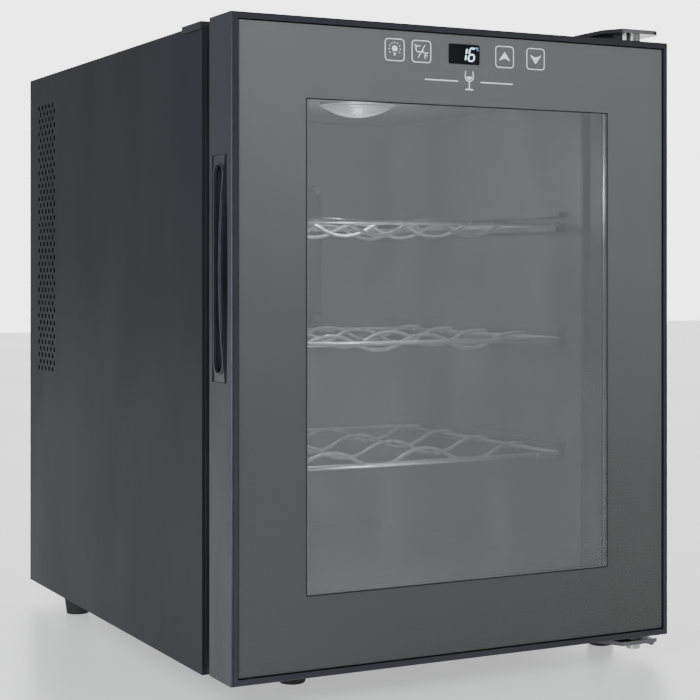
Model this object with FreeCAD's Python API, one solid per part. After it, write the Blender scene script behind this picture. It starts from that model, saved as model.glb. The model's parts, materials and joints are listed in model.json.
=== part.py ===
import FreeCAD, Part
import math
import os

# A counter-top thermoelectric wine cooler. Millimetres, +Z up, the door faces -Y and is hinged on the
# right (+X).
# The origin is on the floor, under the middle of the whole object. Each physical piece is one STEP in
# parts/.

# ---- overall sizes ----
WIDTH = 345.0              # across the door and the top trim
DEPTH = 442.0              # door front to the rear edge of the side panels
DOOR_HEIGHT = 430.0
FOOT_HEIGHT = 15.0
DOOR_RISE = 3.0            # door's lower edge above the cabinet's underside

# ---- cabinet shell ----
SHEET = 1.0                # painted steel
TRIM_OVERHANG = 1.0        # top trim beyond the side panels, each side
TRIM_RISE = 2.0            # top trim above the top panel
TRIM_DEPTH = 34.0
TRIM_LIP = 3.0
FLANGE = 12.0              # turned-in edges of the side panels
BACK_RECESS = 4.0          # back flanges inside the rear edge
BACK_SCREW_END = 30.0      # end screws from the shell's underside and top
BASE_SLOTS = 4             # air slots in the base, under the cooling unit
BASE_SLOT_LENGTH = 180.0
BASE_SLOT_WIDTH = 5.0
BASE_SLOT_PITCH = 12.0
SIDE_WALL = 40.0           # outer face of the cabinet to the liner's inner face
TOP_WALL = 36.0
BOTTOM_WALL = 44.0
FRONT_FRAME = 3.0          # thickness of the black front frame
FRAME_INSET = 2.0          # front frame inside the shell's outline
LINER = 2.0
REAR_FOAM = 24.0           # foam behind the liner's rear wall
FIT = 0.5                  # loose fit between sheet and moulded pieces

# ---- side vents ----
VENT_HOLE = 4.3            # diameter
VENT_PITCH_Y = 9.4
VENT_PITCH_Z = 5.5
VENT_COLUMNS = 5
VENT_BACK_MARGIN = 26.0    # last hole's centre to the rear edge
VENT_TOP_MARGIN = 26.0     # top row's centre to the panel's top
VENT_FIELD = 223.0         # height of the field of holes

# ---- back cover ----
GRILLE_HUB = 15.0          # radius of the closed middle of the fan grille
GRILLE_RINGS = 4
GRILLE_BAR = 3.0
GRILLE_MARGIN = 4.0        # grille inside the fan's outline
GRILLE_CROSS = 4.0
COVER_SLOTS = 8
COVER_SLOT_LENGTH = 160.0
COVER_SLOT = 4.0
COVER_SLOT_PITCH = 9.0
COVER_SLOT_RISE = 130.0    # lowest slot above the cabinet's underside
INLET = (29.0, 21.0)       # opening for the mains inlet
INLET_FLANGE = (41.0, 25.0)
INLET_IN = 50.0            # inlet's middle from the side and the underside
INLET_DEPTH = 24.0
INLET_MOUTH = (24.0, 16.0)
INLET_MOUTH_DEPTH = 16.0
INLET_FLANGE_THICKNESS = 2.0
INLET_PIN = (2.0, 5.0)
INLET_PIN_REACH = 15.0
INLET_PINS = ((-7.0, -2.0), (7.0, -2.0), (0.0, 2.0))

# ---- door ----
DOOR_THICKNESS = 37.0
SEAL_GAP = 15.0            # door's rear face to the shell's front edge
RIM = 4.4                  # front face of the frame bars
RIM_STEP = 1.2             # outer edge of the rim, set back
RIM_STEP_DEPTH = 0.8
BAR_CHAMFER = 0.7          # along the bars' outer front edge
BAR_WALL = 1.8
BAR_FLANGE = 10.0
GLASS = 4.0                # thickness of each pane
GLASS_INSET = 0.8
GLASS_GAP = 0.6            # joint between rim and front glass
PANE_SPACE = 12.0
INNER_PANE_MARGIN = 32.5   # inner pane's edge from the door's edge
SPACER_MARGIN = 38.0
SPACER = 8.0
CORE_WINDOW = 44.0         # door core's opening from the door's edge
SEAL_MARGIN = 20.0         # gasket's outer edge from the door's edge
SEAL_WIDTH = 14.0
SEAL_DART = 2.0
SEAL_DART_DEPTH = 5.0
SEAL_CLEARANCE = 0.2
SEAL_FOLD = 3.0            # depth of the seal's folds
SEAL_NECK = 2.0
KEY_LEG = 22.0             # corner keys inside the mitred corners
KEY_THICKNESS = 2.0
KEY_WIDTH = 9.0
KEY_GAP = 2.0              # keys in front of the bars' rear flanges
SIDE_SCREW_END = 60.0      # side bars' screws from the door's ends
END_SCREW_SIDE = 90.0      # end bars' screws from the middle
DOOR_SCREW = 12.0

# ---- handle in the door's left side ----
HANDLE_HEIGHT = 147.0
HANDLE_DOWN = 164.0        # pocket's middle below the door's top
HANDLE_REAR = 32.5         # rear edge of the pocket, from the door's front
HANDLE_FRONT = 8.6         # front edge at the pocket's ends
HANDLE_BOW = 1.7           # front edge bows forward at mid height
HANDLE_DEPTH = 16.0
INSERT_WALL = 1.5
INSERT_EDGE = 13.4         # insert's front edge at the ends
INSERT_BOW = 6.9           # insert's front edge bows back at mid height
SLOT_END = 6.0             # plate left above and below the finger slot
SLOT_BORDER = 2.5
SLOT_LIP = 1.2
HANDLE_SINK = 0.8          # plate below the door's side, inside the lip

# ---- controls behind the glass ----
KEYS_BELOW_TOP = 18.0
KEY_PLACES = (-54.0, -33.5, 32.5, 58.0)
KEY_PAD = 9.0
BOARD_WIDTH = 140.0
BOARD_HEIGHT = 18.0
BOARD = 1.6
DISPLAY_WIDTH = 24.5
DISPLAY_HEIGHT = 13.6
DISPLAY_DEPTH = 5.0
BOARD_ROOM = 2.0           # clearance round the control board

# ---- hinges ----
HINGE_INSET = 19.0         # axis from the door's right edge
HINGE_BACK = 17.0          # axis from the door's front
PIN = 6.0                  # diameter
PIN_CLEARANCE = 0.05       # radial
PIN_REACH = 12.0           # pin inside the door
BUSH_WALL = 3.0
BUSH_FLANGE = 1.5
BRACKET = 3.0
ARM_GAP = 6.0              # top arm above the door
SHOULDER = 10.0            # diameter of the pins' shoulders
ARM_FRONT = 12.0           # arms reach this far in front of the axis
ARM_LEFT = 18.0
ARM_RIGHT = 16.5
ARM_CORNER = 8.0
BRACKET_LEFT = 38.0        # brackets' rear part to the left of the axis
HINGE_SCREW = 4.0
HINGE_HEAD = 8.0
HINGE_HEAD_HEIGHT = 2.2
TOP_SCREW = 14.0           # length
BOTTOM_SCREW = 12.0
HINGE_HOLE = 20.0          # depth drilled for the hinge screws
TOP_HINGE_SCREWS = (-28.0, -10.0, 8.0)   # places beside the hinge axis
BOTTOM_HINGE_SCREWS = (-30.0, -16.0)
BOTTOM_SCREW_BACK = 32.0   # behind the shell's front edge
BOTTOM_BRACKET_DEPTH = 50.0
ARM_SLANT = 35.0           # length of the arms' slanted left edge
ARM_HEEL = 8.0
ROLL = 2.5                 # radius of the rolled stop on the lower bracket
ROLL_LAP = 1.0
ROLL_LENGTH = 22.0
RIVET = 5.0                # height of the lower pin's head
SHOULDER_GAP = 0.5
BUSH_SPARE = 4.0           # bush beyond the pin's end
BUSH_EDGE = 2.0            # bush flange beyond the pins' shoulders

# ---- shelves ----
SHELF_COUNT = 3
TOP_EXTRA = 7.0            # the top compartment is taller, for the lamp
ROD = 3.5                  # diameter of a shelf's outer loop
WAVE_ROD = 3.0
ROD_CORNER = 9.0
CRADLE_PITCH = 80.0
WAVE_HEIGHT = 11.0
WAVE_CREST = 3.0           # crests above the loop
WAVE_PITCH = 55.0          # cradle rods from front to back
SHELF_SETBACK = 18.0       # front rod behind the shell's front edge
SHELF_SIDE_CLEARANCE = 1.8
SHELF_CLEARANCE = 0.3
RIB = 10.0
RIB_THICKNESS = 3.0
UPPER_RIB = 7.0
UPPER_RIB_GAP = 6.0        # upper rib above the loop's centre line
COVER_CLEARANCE = 4.0      # shelf to the inner fan cover

# ---- lamp ----
LAMP_BACK = 106.0          # lamp's centre behind the shell's front edge
LAMP_RADIUS = 28.0
LAMP_DROP = 9.0
LAMP_RIM = 2.0
LAMP_WALL = 1.5
LAMP_CUP = 12.0
LAMP_FLANGE = 1.0          # rim beyond the dome
CUP_INSET = 3.0            # housing inside the dome's radius
CLIP_INSET = 4.0
CLIP_WALL = 2.0
LIGHTS = 6
LIGHT = 3.0                # side of each light on the board
LIGHT_HEIGHT = 1.0
LIGHT_CIRCLE = 14.0

# ---- temperature sensor ----
SENSOR_FRONT = 60.0        # in front of the cavity's rear wall
SENSOR = (12.0, 24.0, 5.0) # depth, height and thickness of the clip
SENSOR_BARB = 4.0

# ---- cooling unit ----
COOLER_DROP = 150.0        # centre below the shell's top
COVER_SIZE = 120.0
COVER_DEPTH = 20.0
COVER_WALL = 2.0
COVER_RIM = 8.0            # screw rim round the cover's box
COVER_SCREW_IN = 4.0
COVER_FRONT_SLOTS = 11
COVER_FRONT_PITCH = 6.5
COVER_FRONT_SLOT = 4.0
COVER_SIDE_SLOTS = 9
COVER_SIDE_PITCH = 10.0
COVER_SIDE_SLOT = 5.0
COVER_SIDE_MARGIN = 5.0
COVER_SCREW = 8.0
INNER_FAN = 80.0
INNER_FAN_DEPTH = 10.0
COLD_SINK = 88.0
COLD_FINS = 14.5
SINK_BASE = 4.0
WELL_MARGIN = 3.0
MODULE = 40.0
MODULE_THICKNESS = 4.0
HOT_SINK = 120.0
HOT_BASE = 6.0
HOT_FINS = 27.0
FIN = 1.5
FIN_PITCH = 7.0
REAR_FAN = 92.0
REAR_FAN_DEPTH = 25.0
FAN_TO_COVER = 7.0         # rear fan to the back cover
FAN_SHAFT = 4.0
FAN_TIP_GAP = 1.5
BLADES = 7
BLADE = 1.4                # thickness
BLADE_LEAN = 50.0          # degrees from the shaft
BLADE_ROOT = 0.13          # share of the fan's size
BLADE_END = 2.3            # blades stop short of the hub's ends
HUB = 0.17                 # share of the fan's size
DUCT_WALL = 2.0
FAN_HOLE = 4.0
FAN_HOLE_IN = 5.0
STRUT = 3.0
STRUT_DEPTH = 2.5
FAN_RUNNING_GAP = 0.8

# ---- feet, screws and electrics ----
FOOT_RADIUS = 10.0
FOOT_DISC = 7.0
FOOT_STUD = 8.0            # diameter
STUD_CLEARANCE = 0.05
STUD_LENGTH = 20.0         # inside the cabinet
LEFT_FOOT_SIDE = 71.5      # front feet's centres from the shell's side faces
RIGHT_FOOT_SIDE = 13.5     # close to the corner that carries the door
FRONT_FOOT_BACK = 12.0     # from the shell's front edge
REAR_FOOT_FRONT = 84.0     # from the shell's rear edge
REAR_FOOT_SIDE = 15.0
SOCKET_WALL = 3.0
SOCKET_SPARE = 2.0         # socket beyond the stud's end
STUD_HOLE = 10.0           # diameter
REAR_FOOT_SCREW = 15.5     # length
REAR_FOOT_HOLE = 27.0
FOOT_TAPER = 1.0
SCREW = 3.5
SCREW_HEAD = 7.0
SCREW_HEAD_HEIGHT = 1.8
POWER_BOARD = (120.0, 70.0)
STANDOFF = 6.0
STANDOFF_RADIUS = 4.0
STANDOFF_IN = 6.0
POWER_BOARD_RISE = 25.0    # board's lower edge above the cabinet's underside
TRANSFORMER = (30.0, 26.0, 22.0)
TRANSFORMER_X = -8.0
CAPACITOR = 8.0            # radius
CAPACITOR_HEIGHT = 24.0
CAPACITOR_AT = (28.0, 14.0)
HEAT_PLATE = (3.0, 30.0, 24.0)
HEAT_PLATE_AT = (41.5, -10.0)
PLUG = (14.0, 8.0, 9.0)
PLUG_AT = (-44.0, 18.0)
SCREW_BITE = 10.0          # depth drilled for the small screws
SMALL_SCREW = 8.0          # length
CUT = 1.0                  # cutting shapes run this far past a surface

# ---- places that follow from the sizes ----
half = WIDTH / 2
front = -DEPTH / 2
back = DEPTH / 2
door_low = FOOT_HEIGHT + DOOR_RISE
door_high = door_low + DOOR_HEIGHT
door_back = front + DOOR_THICKNESS
shell_half = half - TRIM_OVERHANG
shell_front = door_back + SEAL_GAP
shell_low = FOOT_HEIGHT
shell_high = door_high - TRIM_RISE
frame_front = shell_front - FRONT_FRAME
cavity_half = shell_half - SIDE_WALL
cavity_low = shell_low + BOTTOM_WALL
cavity_high = shell_high - TOP_WALL
foam_half = shell_half - SHEET
foam_low = shell_low + SHEET
foam_high = shell_high - SHEET
back_flange = back - BACK_RECESS - SHEET
rear_fan_front = back_flange + SHEET - FAN_TO_COVER - REAR_FAN_DEPTH
module_back = rear_fan_front - HOT_FINS - HOT_BASE
foam_back = module_back - MODULE_THICKNESS / 2
cavity_back = foam_back - REAR_FOAM - LINER
hinge_x = half - HINGE_INSET
hinge_y = front + HINGE_BACK
pane_front = front + GLASS_INSET
core_front = pane_front + GLASS
pane_back = core_front + PANE_SPACE
pane_rear = pane_back + GLASS
core_back = door_back - BAR_WALL
cooler_z = shell_high - COOLER_DROP
sink_back = cavity_back + COLD_FINS - COVER_CLEARANCE + SINK_BASE
inner_fan_front = cavity_back - COVER_DEPTH + COVER_WALL
shelf_back = cavity_back - COVER_DEPTH - COVER_CLEARANCE - ROD / 2
shelf_front = shell_front + SHELF_SETBACK
shelf_half = cavity_half - SHELF_SIDE_CLEARANCE - ROD / 2
shelf_step = (cavity_high - cavity_low - TOP_EXTRA) / (SHELF_COUNT + 1)
shelf_levels = [cavity_low + shelf_step * (i + 1) for i in range(SHELF_COUNT)]
lamp_y = shell_front + LAMP_BACK
handle_middle = door_high - HANDLE_DOWN
board_z = door_high - KEYS_BELOW_TOP
front_foot_y = shell_front + FRONT_FOOT_BACK
rear_foot_y = back - REAR_FOOT_FRONT
front_feet_x = (LEFT_FOOT_SIDE - shell_half, shell_half - RIGHT_FOOT_SIDE)
rear_foot_x = shell_half - REAR_FOOT_SIDE
cover_face = back_flange + 2 * SHEET
inlet_x = -foam_half + INLET_IN
inlet_z = shell_low + INLET_IN
sensor_y = cavity_back - SENSOR_FRONT
sensor_z = shelf_levels[-1] - shelf_step / 2
power_board_z = shell_low + POWER_BOARD_RISE + POWER_BOARD[1] / 2

V = FreeCAD.Vector
X, Y, Z = V(1, 0, 0), V(0, 1, 0), V(0, 0, 1)
os.makedirs("parts", exist_ok=True)


# ---- shapes ----
def box(x0, x1, y0, y1, z0, z1):
    return Part.makeBox(x1 - x0, y1 - y0, z1 - z0, V(x0, y0, z0))


def centred(width, height, y0, y1, x=0.0, z=0.0):
    """A block seen from the front as width by height about (x, z)."""
    return box(x - width / 2, x + width / 2, y0, y1, z - height / 2, z + height / 2)


def rod(radius, start, end):
    return Part.makeCylinder(radius, (end - start).Length, start, end - start)


def prism(points, direction):
    """A closed outline of points, pushed along direction."""
    return Part.Face(Part.makePolygon(points + points[:1])).extrude(direction)


def fused(pieces):
    whole = pieces[0].multiFuse(pieces[1:]) if len(pieces) > 1 else pieces[0]
    return whole.removeSplitter()


def group(pieces):
    return Part.makeCompound(pieces)


def mirrored(shape):
    return shape.mirror(V(0, 0, 0), X)


def save(name, shape):
    shape.exportStep(f"parts/{name}.step")
    print(f"{name}: {len(shape.Solids)} solids, {shape.Volume / 1000:.1f} cm3, valid {shape.isValid()}")


def mitred_bars(section, half_width, low, high):
    """Left, right, bottom and top bars of a rectangular frame. section is (in from the edge, y) points."""
    reach = max(u for u, _ in section)
    left = prism([V(-half_width + u, y, low) for u, y in section], V(0, 0, high - low))
    y0 = min(y for _, y in section)
    deep = V(0, max(y for _, y in section) - y0, 0)
    corners = [(0, low), (0, high), (reach, high - reach), (reach, low + reach)]
    left = left.common(prism([V(-half_width + u, y0, z) for u, z in corners], deep))
    bottom = prism([V(-half_width, y, low + u) for u, y in section], V(2 * half_width, 0, 0))
    corners = [(-half_width, 0), (half_width, 0), (half_width - reach, reach), (reach - half_width, reach)]
    bottom = bottom.common(prism([V(x, y0, low + u) for x, u in corners], deep))
    top = bottom.mirror(V(0, 0, (low + high) / 2), Z)
    return left, mirrored(left), bottom, top


def ring(section, half_width, low, high):
    return fused(list(mitred_bars(section, half_width, low, high)))


def rect_ring(outline, opening, y0, y1):
    """A flat rectangular ring; outline and opening are (half width, lower edge, upper edge)."""
    plate = box(-outline[0], outline[0], y0, y1, outline[1], outline[2])
    return plate.cut(box(-opening[0], opening[0], y0 - CUT, y1 + CUT, opening[1], opening[2]))


def screw(at, direction, length, diameter=SCREW, head=SCREW_HEAD, head_height=SCREW_HEAD_HEIGHT):
    """A pan-head screw: at is under the head, and the shank runs along direction."""
    arm, width, deep = head * 0.3, head * 0.12, head_height * 0.6
    top = head_height
    cap = Part.makeCone(head / 2, head * 0.36, top)
    cross = [box(-arm, arm, -width / 2, width / 2, top - deep, top + 1),
             box(-width / 2, width / 2, -arm, arm, top - deep, top + 1)]
    whole = fused([cap.cut(group(cross)), Part.makeCylinder(diameter / 2, length, V(0, 0, -length))])
    whole.Placement = FreeCAD.Placement(at, FreeCAD.Rotation(Z, direction * -1))
    return whole


def hinge_screw(at, direction, length):
    return screw(at, direction, length, HINGE_SCREW, HINGE_HEAD, HINGE_HEAD_HEIGHT)


def drill(points, direction, diameter, length):
    return group([Part.makeCylinder(diameter / 2, length, p, direction) for p in points])


# ---- cabinet shell ----
def vent_holes():
    """Staggered rows of round holes near the rear edge of the left side panel."""
    rows = int(VENT_FIELD / VENT_PITCH_Z) + 1
    last_y = back - VENT_BACK_MARGIN
    top_z = shell_high - VENT_TOP_MARGIN
    holes = []
    for row in range(rows):
        shift = VENT_PITCH_Y / 2 * (row % 2)
        for column in range(VENT_COLUMNS):
            y = last_y - shift - column * VENT_PITCH_Y
            at = V(-shell_half - CUT, y, top_z - row * VENT_PITCH_Z)
            holes.append(Part.makeCylinder(VENT_HOLE / 2, SHEET + 2 * CUT, at, X))
    return group(holes)


def left_panel():
    x = -shell_half
    top = shell_high - SHEET
    plate = box(x, x + SHEET, shell_front, back, shell_low, top)
    front_edge = box(x, x + FLANGE, shell_front, shell_front + SHEET, shell_low, top)
    rear_edge = box(x, x + FLANGE, back_flange, back_flange + SHEET, shell_low, top)
    holes = drill([V(p.x, back_flange - CUT, p.z) for p in back_screws() if p.x < 0], Y, SCREW,
                  SHEET + 2 * CUT)
    return fused([plate, front_edge, rear_edge]).cut(vent_holes()).cut(holes)


def back_screws():
    """Where the back cover's screws go, on its outer face."""
    low, high = shell_low + BACK_SCREW_END, shell_high - BACK_SCREW_END
    heights = [low, (low + high) / 2, high]
    return [V(side * (shell_half - FLANGE / 2), cover_face, z) for side in (-1, 1) for z in heights]


def top_panel():
    plate = box(-shell_half, shell_half, shell_front, back, shell_high - SHEET, shell_high)
    return plate.cut(drill(top_hinge_screws(), Z * -1, HINGE_SCREW, HINGE_HOLE))


def base_panel():
    plate = box(-foam_half, foam_half, shell_front + SHEET, back_flange, shell_low, shell_low + SHEET)
    holes = [V(x, front_foot_y, 0) for x in front_feet_x]
    plate = plate.cut(drill(holes, Z, STUD_HOLE, foam_low + CUT))
    plate = plate.cut(drill(bottom_hinge_screws(), Z, HINGE_SCREW, HINGE_HOLE))
    plate = plate.cut(drill(rear_foot_places(), Z, SCREW, REAR_FOOT_HOLE))
    slots = []
    for i in range(BASE_SLOTS):
        y = foam_back + BASE_SLOT_PITCH * (i + 1)
        slots.append(box(-BASE_SLOT_LENGTH / 2, BASE_SLOT_LENGTH / 2, y, y + BASE_SLOT_WIDTH, 0,
                         foam_low + CUT))
    return plate.cut(group(slots))


def top_trim():
    y1 = shell_front + TRIM_DEPTH
    plate = box(-half, half, shell_front, y1, shell_high, shell_high + TRIM_RISE)
    lips = [box(half - TRIM_OVERHANG, half, shell_front, y1, shell_high - TRIM_LIP, shell_high)]
    lips.append(mirrored(lips[0]))
    holes = drill(top_hinge_screws(), Z * -1, HINGE_SCREW, HINGE_HOLE)
    return fused([plate] + lips).cut(holes)


def front_frame():
    outline = (shell_half - FRAME_INSET, shell_low + FRAME_INSET, shell_high - FRAME_INSET)
    return rect_ring(outline, (cavity_half, cavity_low, cavity_high), frame_front, shell_front)


def inner_liner():
    outer = box(-cavity_half - LINER, cavity_half + LINER, shell_front, cavity_back + LINER,
                cavity_low - LINER, cavity_high + LINER)
    flange_half = shell_half - FLANGE - FIT
    flange = box(-flange_half, flange_half, shell_front, shell_front + LINER,
                 shell_low + FLANGE, shell_high - FLANGE)
    well = COLD_SINK / 2 + WELL_MARGIN
    well_outer = centred(2 * (well + LINER), 2 * (well + LINER), cavity_back, sink_back + LINER, z=cooler_z)
    cavity = box(-cavity_half, cavity_half, shell_front - 1, cavity_back, cavity_low, cavity_high)
    well_inner = centred(2 * well, 2 * well, cavity_back - 1, sink_back, z=cooler_z)
    block_hole = centred(MODULE + FIT, MODULE + FIT, sink_back - 1, sink_back + LINER + 1, z=cooler_z)
    liner = outer.fuse([flange, well_outer]).cut(group([cavity])).cut(well_inner).cut(block_hole)
    lamp_hole = rod(LAMP_RADIUS - 4, V(0, lamp_y, cavity_high - 1), V(0, lamp_y, cavity_high + LINER + 1))
    ribs = []
    for level in shelf_levels:
        for side in (-1, 1):
            edges = sorted([side * cavity_half, side * (cavity_half - RIB)])
            rib_top = level - ROD / 2 - SHELF_CLEARANCE
            ribs.append(box(edges[0], edges[1], shelf_front, cavity_back, rib_top - RIB_THICKNESS, rib_top))
            edges = sorted([side * cavity_half, side * (cavity_half - UPPER_RIB)])
            rib_low = level + UPPER_RIB_GAP
            ribs.append(box(edges[0], edges[1], shelf_front, cavity_back, rib_low, rib_low + RIB_THICKNESS))
    holes = drill([V(p.x, cavity_back - CUT, p.z) for p in cover_screws()], Y, SCREW, LINER + 2 * CUT)
    return fused([liner.cut(lamp_hole).cut(holes).cut(sensor_stud())] + ribs)


def insulation():
    block = box(-foam_half, foam_half, shell_front + LINER, foam_back, foam_low, foam_high)
    hollow = box(-cavity_half - LINER, cavity_half + LINER, shell_front, cavity_back + LINER,
                 cavity_low - LINER, cavity_high + LINER)
    well = COLD_SINK + 2 * (WELL_MARGIN + LINER)
    well_hole = centred(well, well, cavity_back, sink_back + LINER, z=cooler_z)
    block_hole = centred(MODULE, MODULE, sink_back, foam_back + CUT, z=cooler_z)
    lamp_hole = rod(LAMP_RADIUS - CUP_INSET, V(0, lamp_y, cavity_high),
                    V(0, lamp_y, cavity_high + LINER + LAMP_CUP))
    sockets = [rod(FOOT_STUD / 2 + SOCKET_WALL, V(x, front_foot_y, foam_low),
                   V(x, front_foot_y, foam_low + STUD_LENGTH + SOCKET_SPARE)) for x in front_feet_x]
    foam = block.cut(hollow).cut(well_hole).cut(block_hole).cut(lamp_hole).cut(group(sockets))
    foam = foam.cut(backing_plates()).cut(drill(top_hinge_screws(), Z * -1, HINGE_SCREW, HINGE_HOLE))
    foam = foam.cut(drill(rear_foot_places(), Z, SCREW, REAR_FOOT_HOLE))
    screws = drill([V(p.x, cavity_back, p.z) for p in cover_screws()], Y, SCREW, SCREW_BITE)
    return foam.cut(screws).cut(drill(bottom_hinge_screws(), Z, HINGE_SCREW, HINGE_HOLE)).cut(sensor_stud())


def backing_plates():
    """Steel plates inside the foam that the hinge screws bite into."""
    top = box(hinge_x - BRACKET_LEFT, foam_half - FIT, shell_front + FLANGE, shell_front + TRIM_DEPTH,
              foam_high - BRACKET, foam_high)
    low = box(hinge_x - BRACKET_LEFT, front_feet_x[1] - FOOT_STUD, shell_front + FLANGE,
              shell_front + BOTTOM_BRACKET_DEPTH, foam_low, foam_low + BRACKET)
    return group([top.cut(drill(top_hinge_screws(), Z * -1, HINGE_SCREW, HINGE_HOLE)),
                  low.cut(drill(bottom_hinge_screws(), Z, HINGE_SCREW, HINGE_HOLE))])


def back_cover():
    y0 = back_flange + SHEET
    cover = box(-foam_half + FIT, foam_half - FIT, y0, y0 + SHEET, shell_low + FIT + SHEET, foam_high - FIT)
    rings = []
    width = (REAR_FAN / 2 - GRILLE_MARGIN - GRILLE_HUB) / GRILLE_RINGS
    start = V(0, y0 - CUT, cooler_z)
    for i in range(GRILLE_RINGS):
        inner = GRILLE_HUB + i * width
        hoop = Part.makeCylinder(inner + width - GRILLE_BAR, SHEET + 2 * CUT, start, Y)
        rings.append(hoop.cut(Part.makeCylinder(inner, SHEET + 2 * CUT, start, Y)))
    bars = [centred(2 * REAR_FAN, GRILLE_CROSS, y0 - 2 * CUT, y0 + SHEET + 2 * CUT, z=cooler_z),
            centred(GRILLE_CROSS, 2 * REAR_FAN, y0 - 2 * CUT, y0 + SHEET + 2 * CUT, z=cooler_z)]
    cover = cover.cut(group(rings).cut(group(bars)))
    slots = []
    for i in range(COVER_SLOTS):
        z = shell_low + COVER_SLOT_RISE + COVER_SLOT_PITCH * i
        if z < cooler_z - REAR_FAN / 2 - 2 * COVER_SLOT:
            slots.append(centred(COVER_SLOT_LENGTH, COVER_SLOT, y0 - CUT, y0 + SHEET + CUT, z=z))
    cover = cover.cut(group(slots))
    cover = cover.cut(centred(*INLET, y0 - CUT, y0 + SHEET + CUT, x=inlet_x, z=inlet_z))
    return cover.cut(drill([p - Y * (SHEET + CUT) for p in back_screws()], Y, SCREW, SHEET + 2 * CUT))


# ---- feet ----
def front_foot(x):
    at = V(x, front_foot_y, 0)
    disc = Part.makeCone(FOOT_RADIUS - FOOT_TAPER, FOOT_RADIUS, FOOT_DISC, at, Z)
    return fused([disc, rod(FOOT_STUD / 2, at, V(x, front_foot_y, foam_low + STUD_LENGTH))])


def foot_sockets():
    sockets = []
    for x in front_feet_x:
        low = V(x, front_foot_y, foam_low)
        high = low + Z * (STUD_LENGTH + SOCKET_SPARE)
        boss = rod(FOOT_STUD / 2 + SOCKET_WALL, low, high)
        sockets.append(boss.cut(rod(FOOT_STUD / 2 + STUD_CLEARANCE, low - Z, high - Z)))
    return group(sockets)


def rear_foot_places(z=0.0):
    return [V(side * rear_foot_x, rear_foot_y, z) for side in (-1, 1)]


def rear_foot(at):
    cone = Part.makeCone(FOOT_RADIUS - FOOT_TAPER, FOOT_RADIUS + FOOT_TAPER, FOOT_HEIGHT, at, Z)
    recess = rod(SCREW_HEAD / 2, at, at + Z * (FOOT_HEIGHT / 2))
    bore = rod(SCREW / 2, at, at + Z * FOOT_HEIGHT)
    return cone.cut(recess).cut(bore)


# ---- hinges ----
def top_hinge_screws():
    y = shell_front + TRIM_DEPTH / 2
    return [V(hinge_x + dx, y, shell_high + TRIM_RISE + BRACKET) for dx in TOP_HINGE_SCREWS]


def bottom_hinge_screws():
    y = shell_front + BOTTOM_SCREW_BACK
    return [V(hinge_x + dx, y, shell_low - BRACKET) for dx in BOTTOM_HINGE_SCREWS]


def arm_outline(z, rear):
    """The arm round the hinge axis: a slanted left edge and a rounded front right corner."""
    x0, x1 = hinge_x - ARM_LEFT, hinge_x + ARM_RIGHT
    y0 = hinge_y - ARM_FRONT
    turn = ARM_CORNER * (1 - math.sqrt(0.5))
    corner = Part.Arc(V(x1 - ARM_CORNER, y0, z), V(x1 - turn, y0 + turn, z), V(x1, y0 + ARM_CORNER, z))
    path = [V(x1, y0 + ARM_CORNER, z), V(x1, rear, z), V(hinge_x - BRACKET_LEFT, rear, z)]
    path += [V(hinge_x - BRACKET_LEFT, y0 + ARM_SLANT, z), V(x0, y0, z), V(x1 - ARM_CORNER, y0, z)]
    edges = [corner.toShape()] + [Part.makeLine(a, b) for a, b in zip(path, path[1:])]
    return Part.Face(Part.Wire(edges))


def top_bracket():
    arm_low = door_high + ARM_GAP
    web_back = shell_front + BRACKET
    arm = arm_outline(arm_low, web_back).extrude(Z * BRACKET)
    keep = box(hinge_x - ARM_LEFT - ARM_HEEL, half, front, web_back, arm_low, arm_low + BRACKET)
    arm = arm.common(keep)
    web = box(hinge_x - ARM_LEFT, hinge_x + ARM_RIGHT, shell_front, web_back,
              shell_high + TRIM_RISE, arm_low + BRACKET)
    base = box(hinge_x - BRACKET_LEFT, hinge_x + ARM_RIGHT, shell_front, shell_front + TRIM_DEPTH,
               shell_high + TRIM_RISE, shell_high + TRIM_RISE + BRACKET)
    bracket = fused([arm, web, base])
    bracket = bracket.cut(drill(top_hinge_screws(), Z * -1, HINGE_SCREW, BRACKET + CUT))
    return bracket.cut(rod(PIN / 2, V(hinge_x, hinge_y, arm_low - CUT),
                           V(hinge_x, hinge_y, arm_low + BRACKET + CUT)))


def top_pin():
    arm_low = door_high + ARM_GAP
    low = V(hinge_x, hinge_y, door_high - PIN_REACH)
    pin = rod(PIN / 2, low, V(hinge_x, hinge_y, arm_low + BRACKET))
    shoulder_low = door_high + BUSH_FLANGE + SHOULDER_GAP
    shoulder = rod(SHOULDER / 2, V(hinge_x, hinge_y, shoulder_low), V(hinge_x, hinge_y, arm_low))
    return fused([pin, shoulder])


def bottom_bracket():
    under = shell_low - BRACKET
    plate = arm_outline(under, shell_front + BOTTOM_BRACKET_DEPTH).extrude(Z * BRACKET)
    roll_start = V(hinge_x + ARM_RIGHT - ROLL, hinge_y - ARM_FRONT + ARM_CORNER, under - ROLL + ROLL_LAP)
    bracket = fused([plate, rod(ROLL, roll_start, roll_start + Y * ROLL_LENGTH)])
    bracket = bracket.cut(drill(bottom_hinge_screws(), Z, HINGE_SCREW, BRACKET + CUT))
    bracket = bracket.cut(drill([V(front_feet_x[1], front_foot_y, 0)], Z, STUD_HOLE, FOOT_HEIGHT + CUT))
    return bracket.cut(rod(PIN / 2, V(hinge_x, hinge_y, under - CUT),
                           V(hinge_x, hinge_y, FOOT_HEIGHT + CUT)))


def bottom_pin():
    under = V(hinge_x, hinge_y, shell_low - BRACKET)
    pin = rod(PIN / 2, under, V(hinge_x, hinge_y, door_low + PIN_REACH))
    rivet = rod(SHOULDER / 2, under - Z * RIVET, under)
    shoulder_high = door_low - BUSH_FLANGE - FIT / 5
    shoulder = rod(SHOULDER / 2, V(hinge_x, hinge_y, shell_low), V(hinge_x, hinge_y, shoulder_high))
    return fused([pin, rivet, shoulder])


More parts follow.
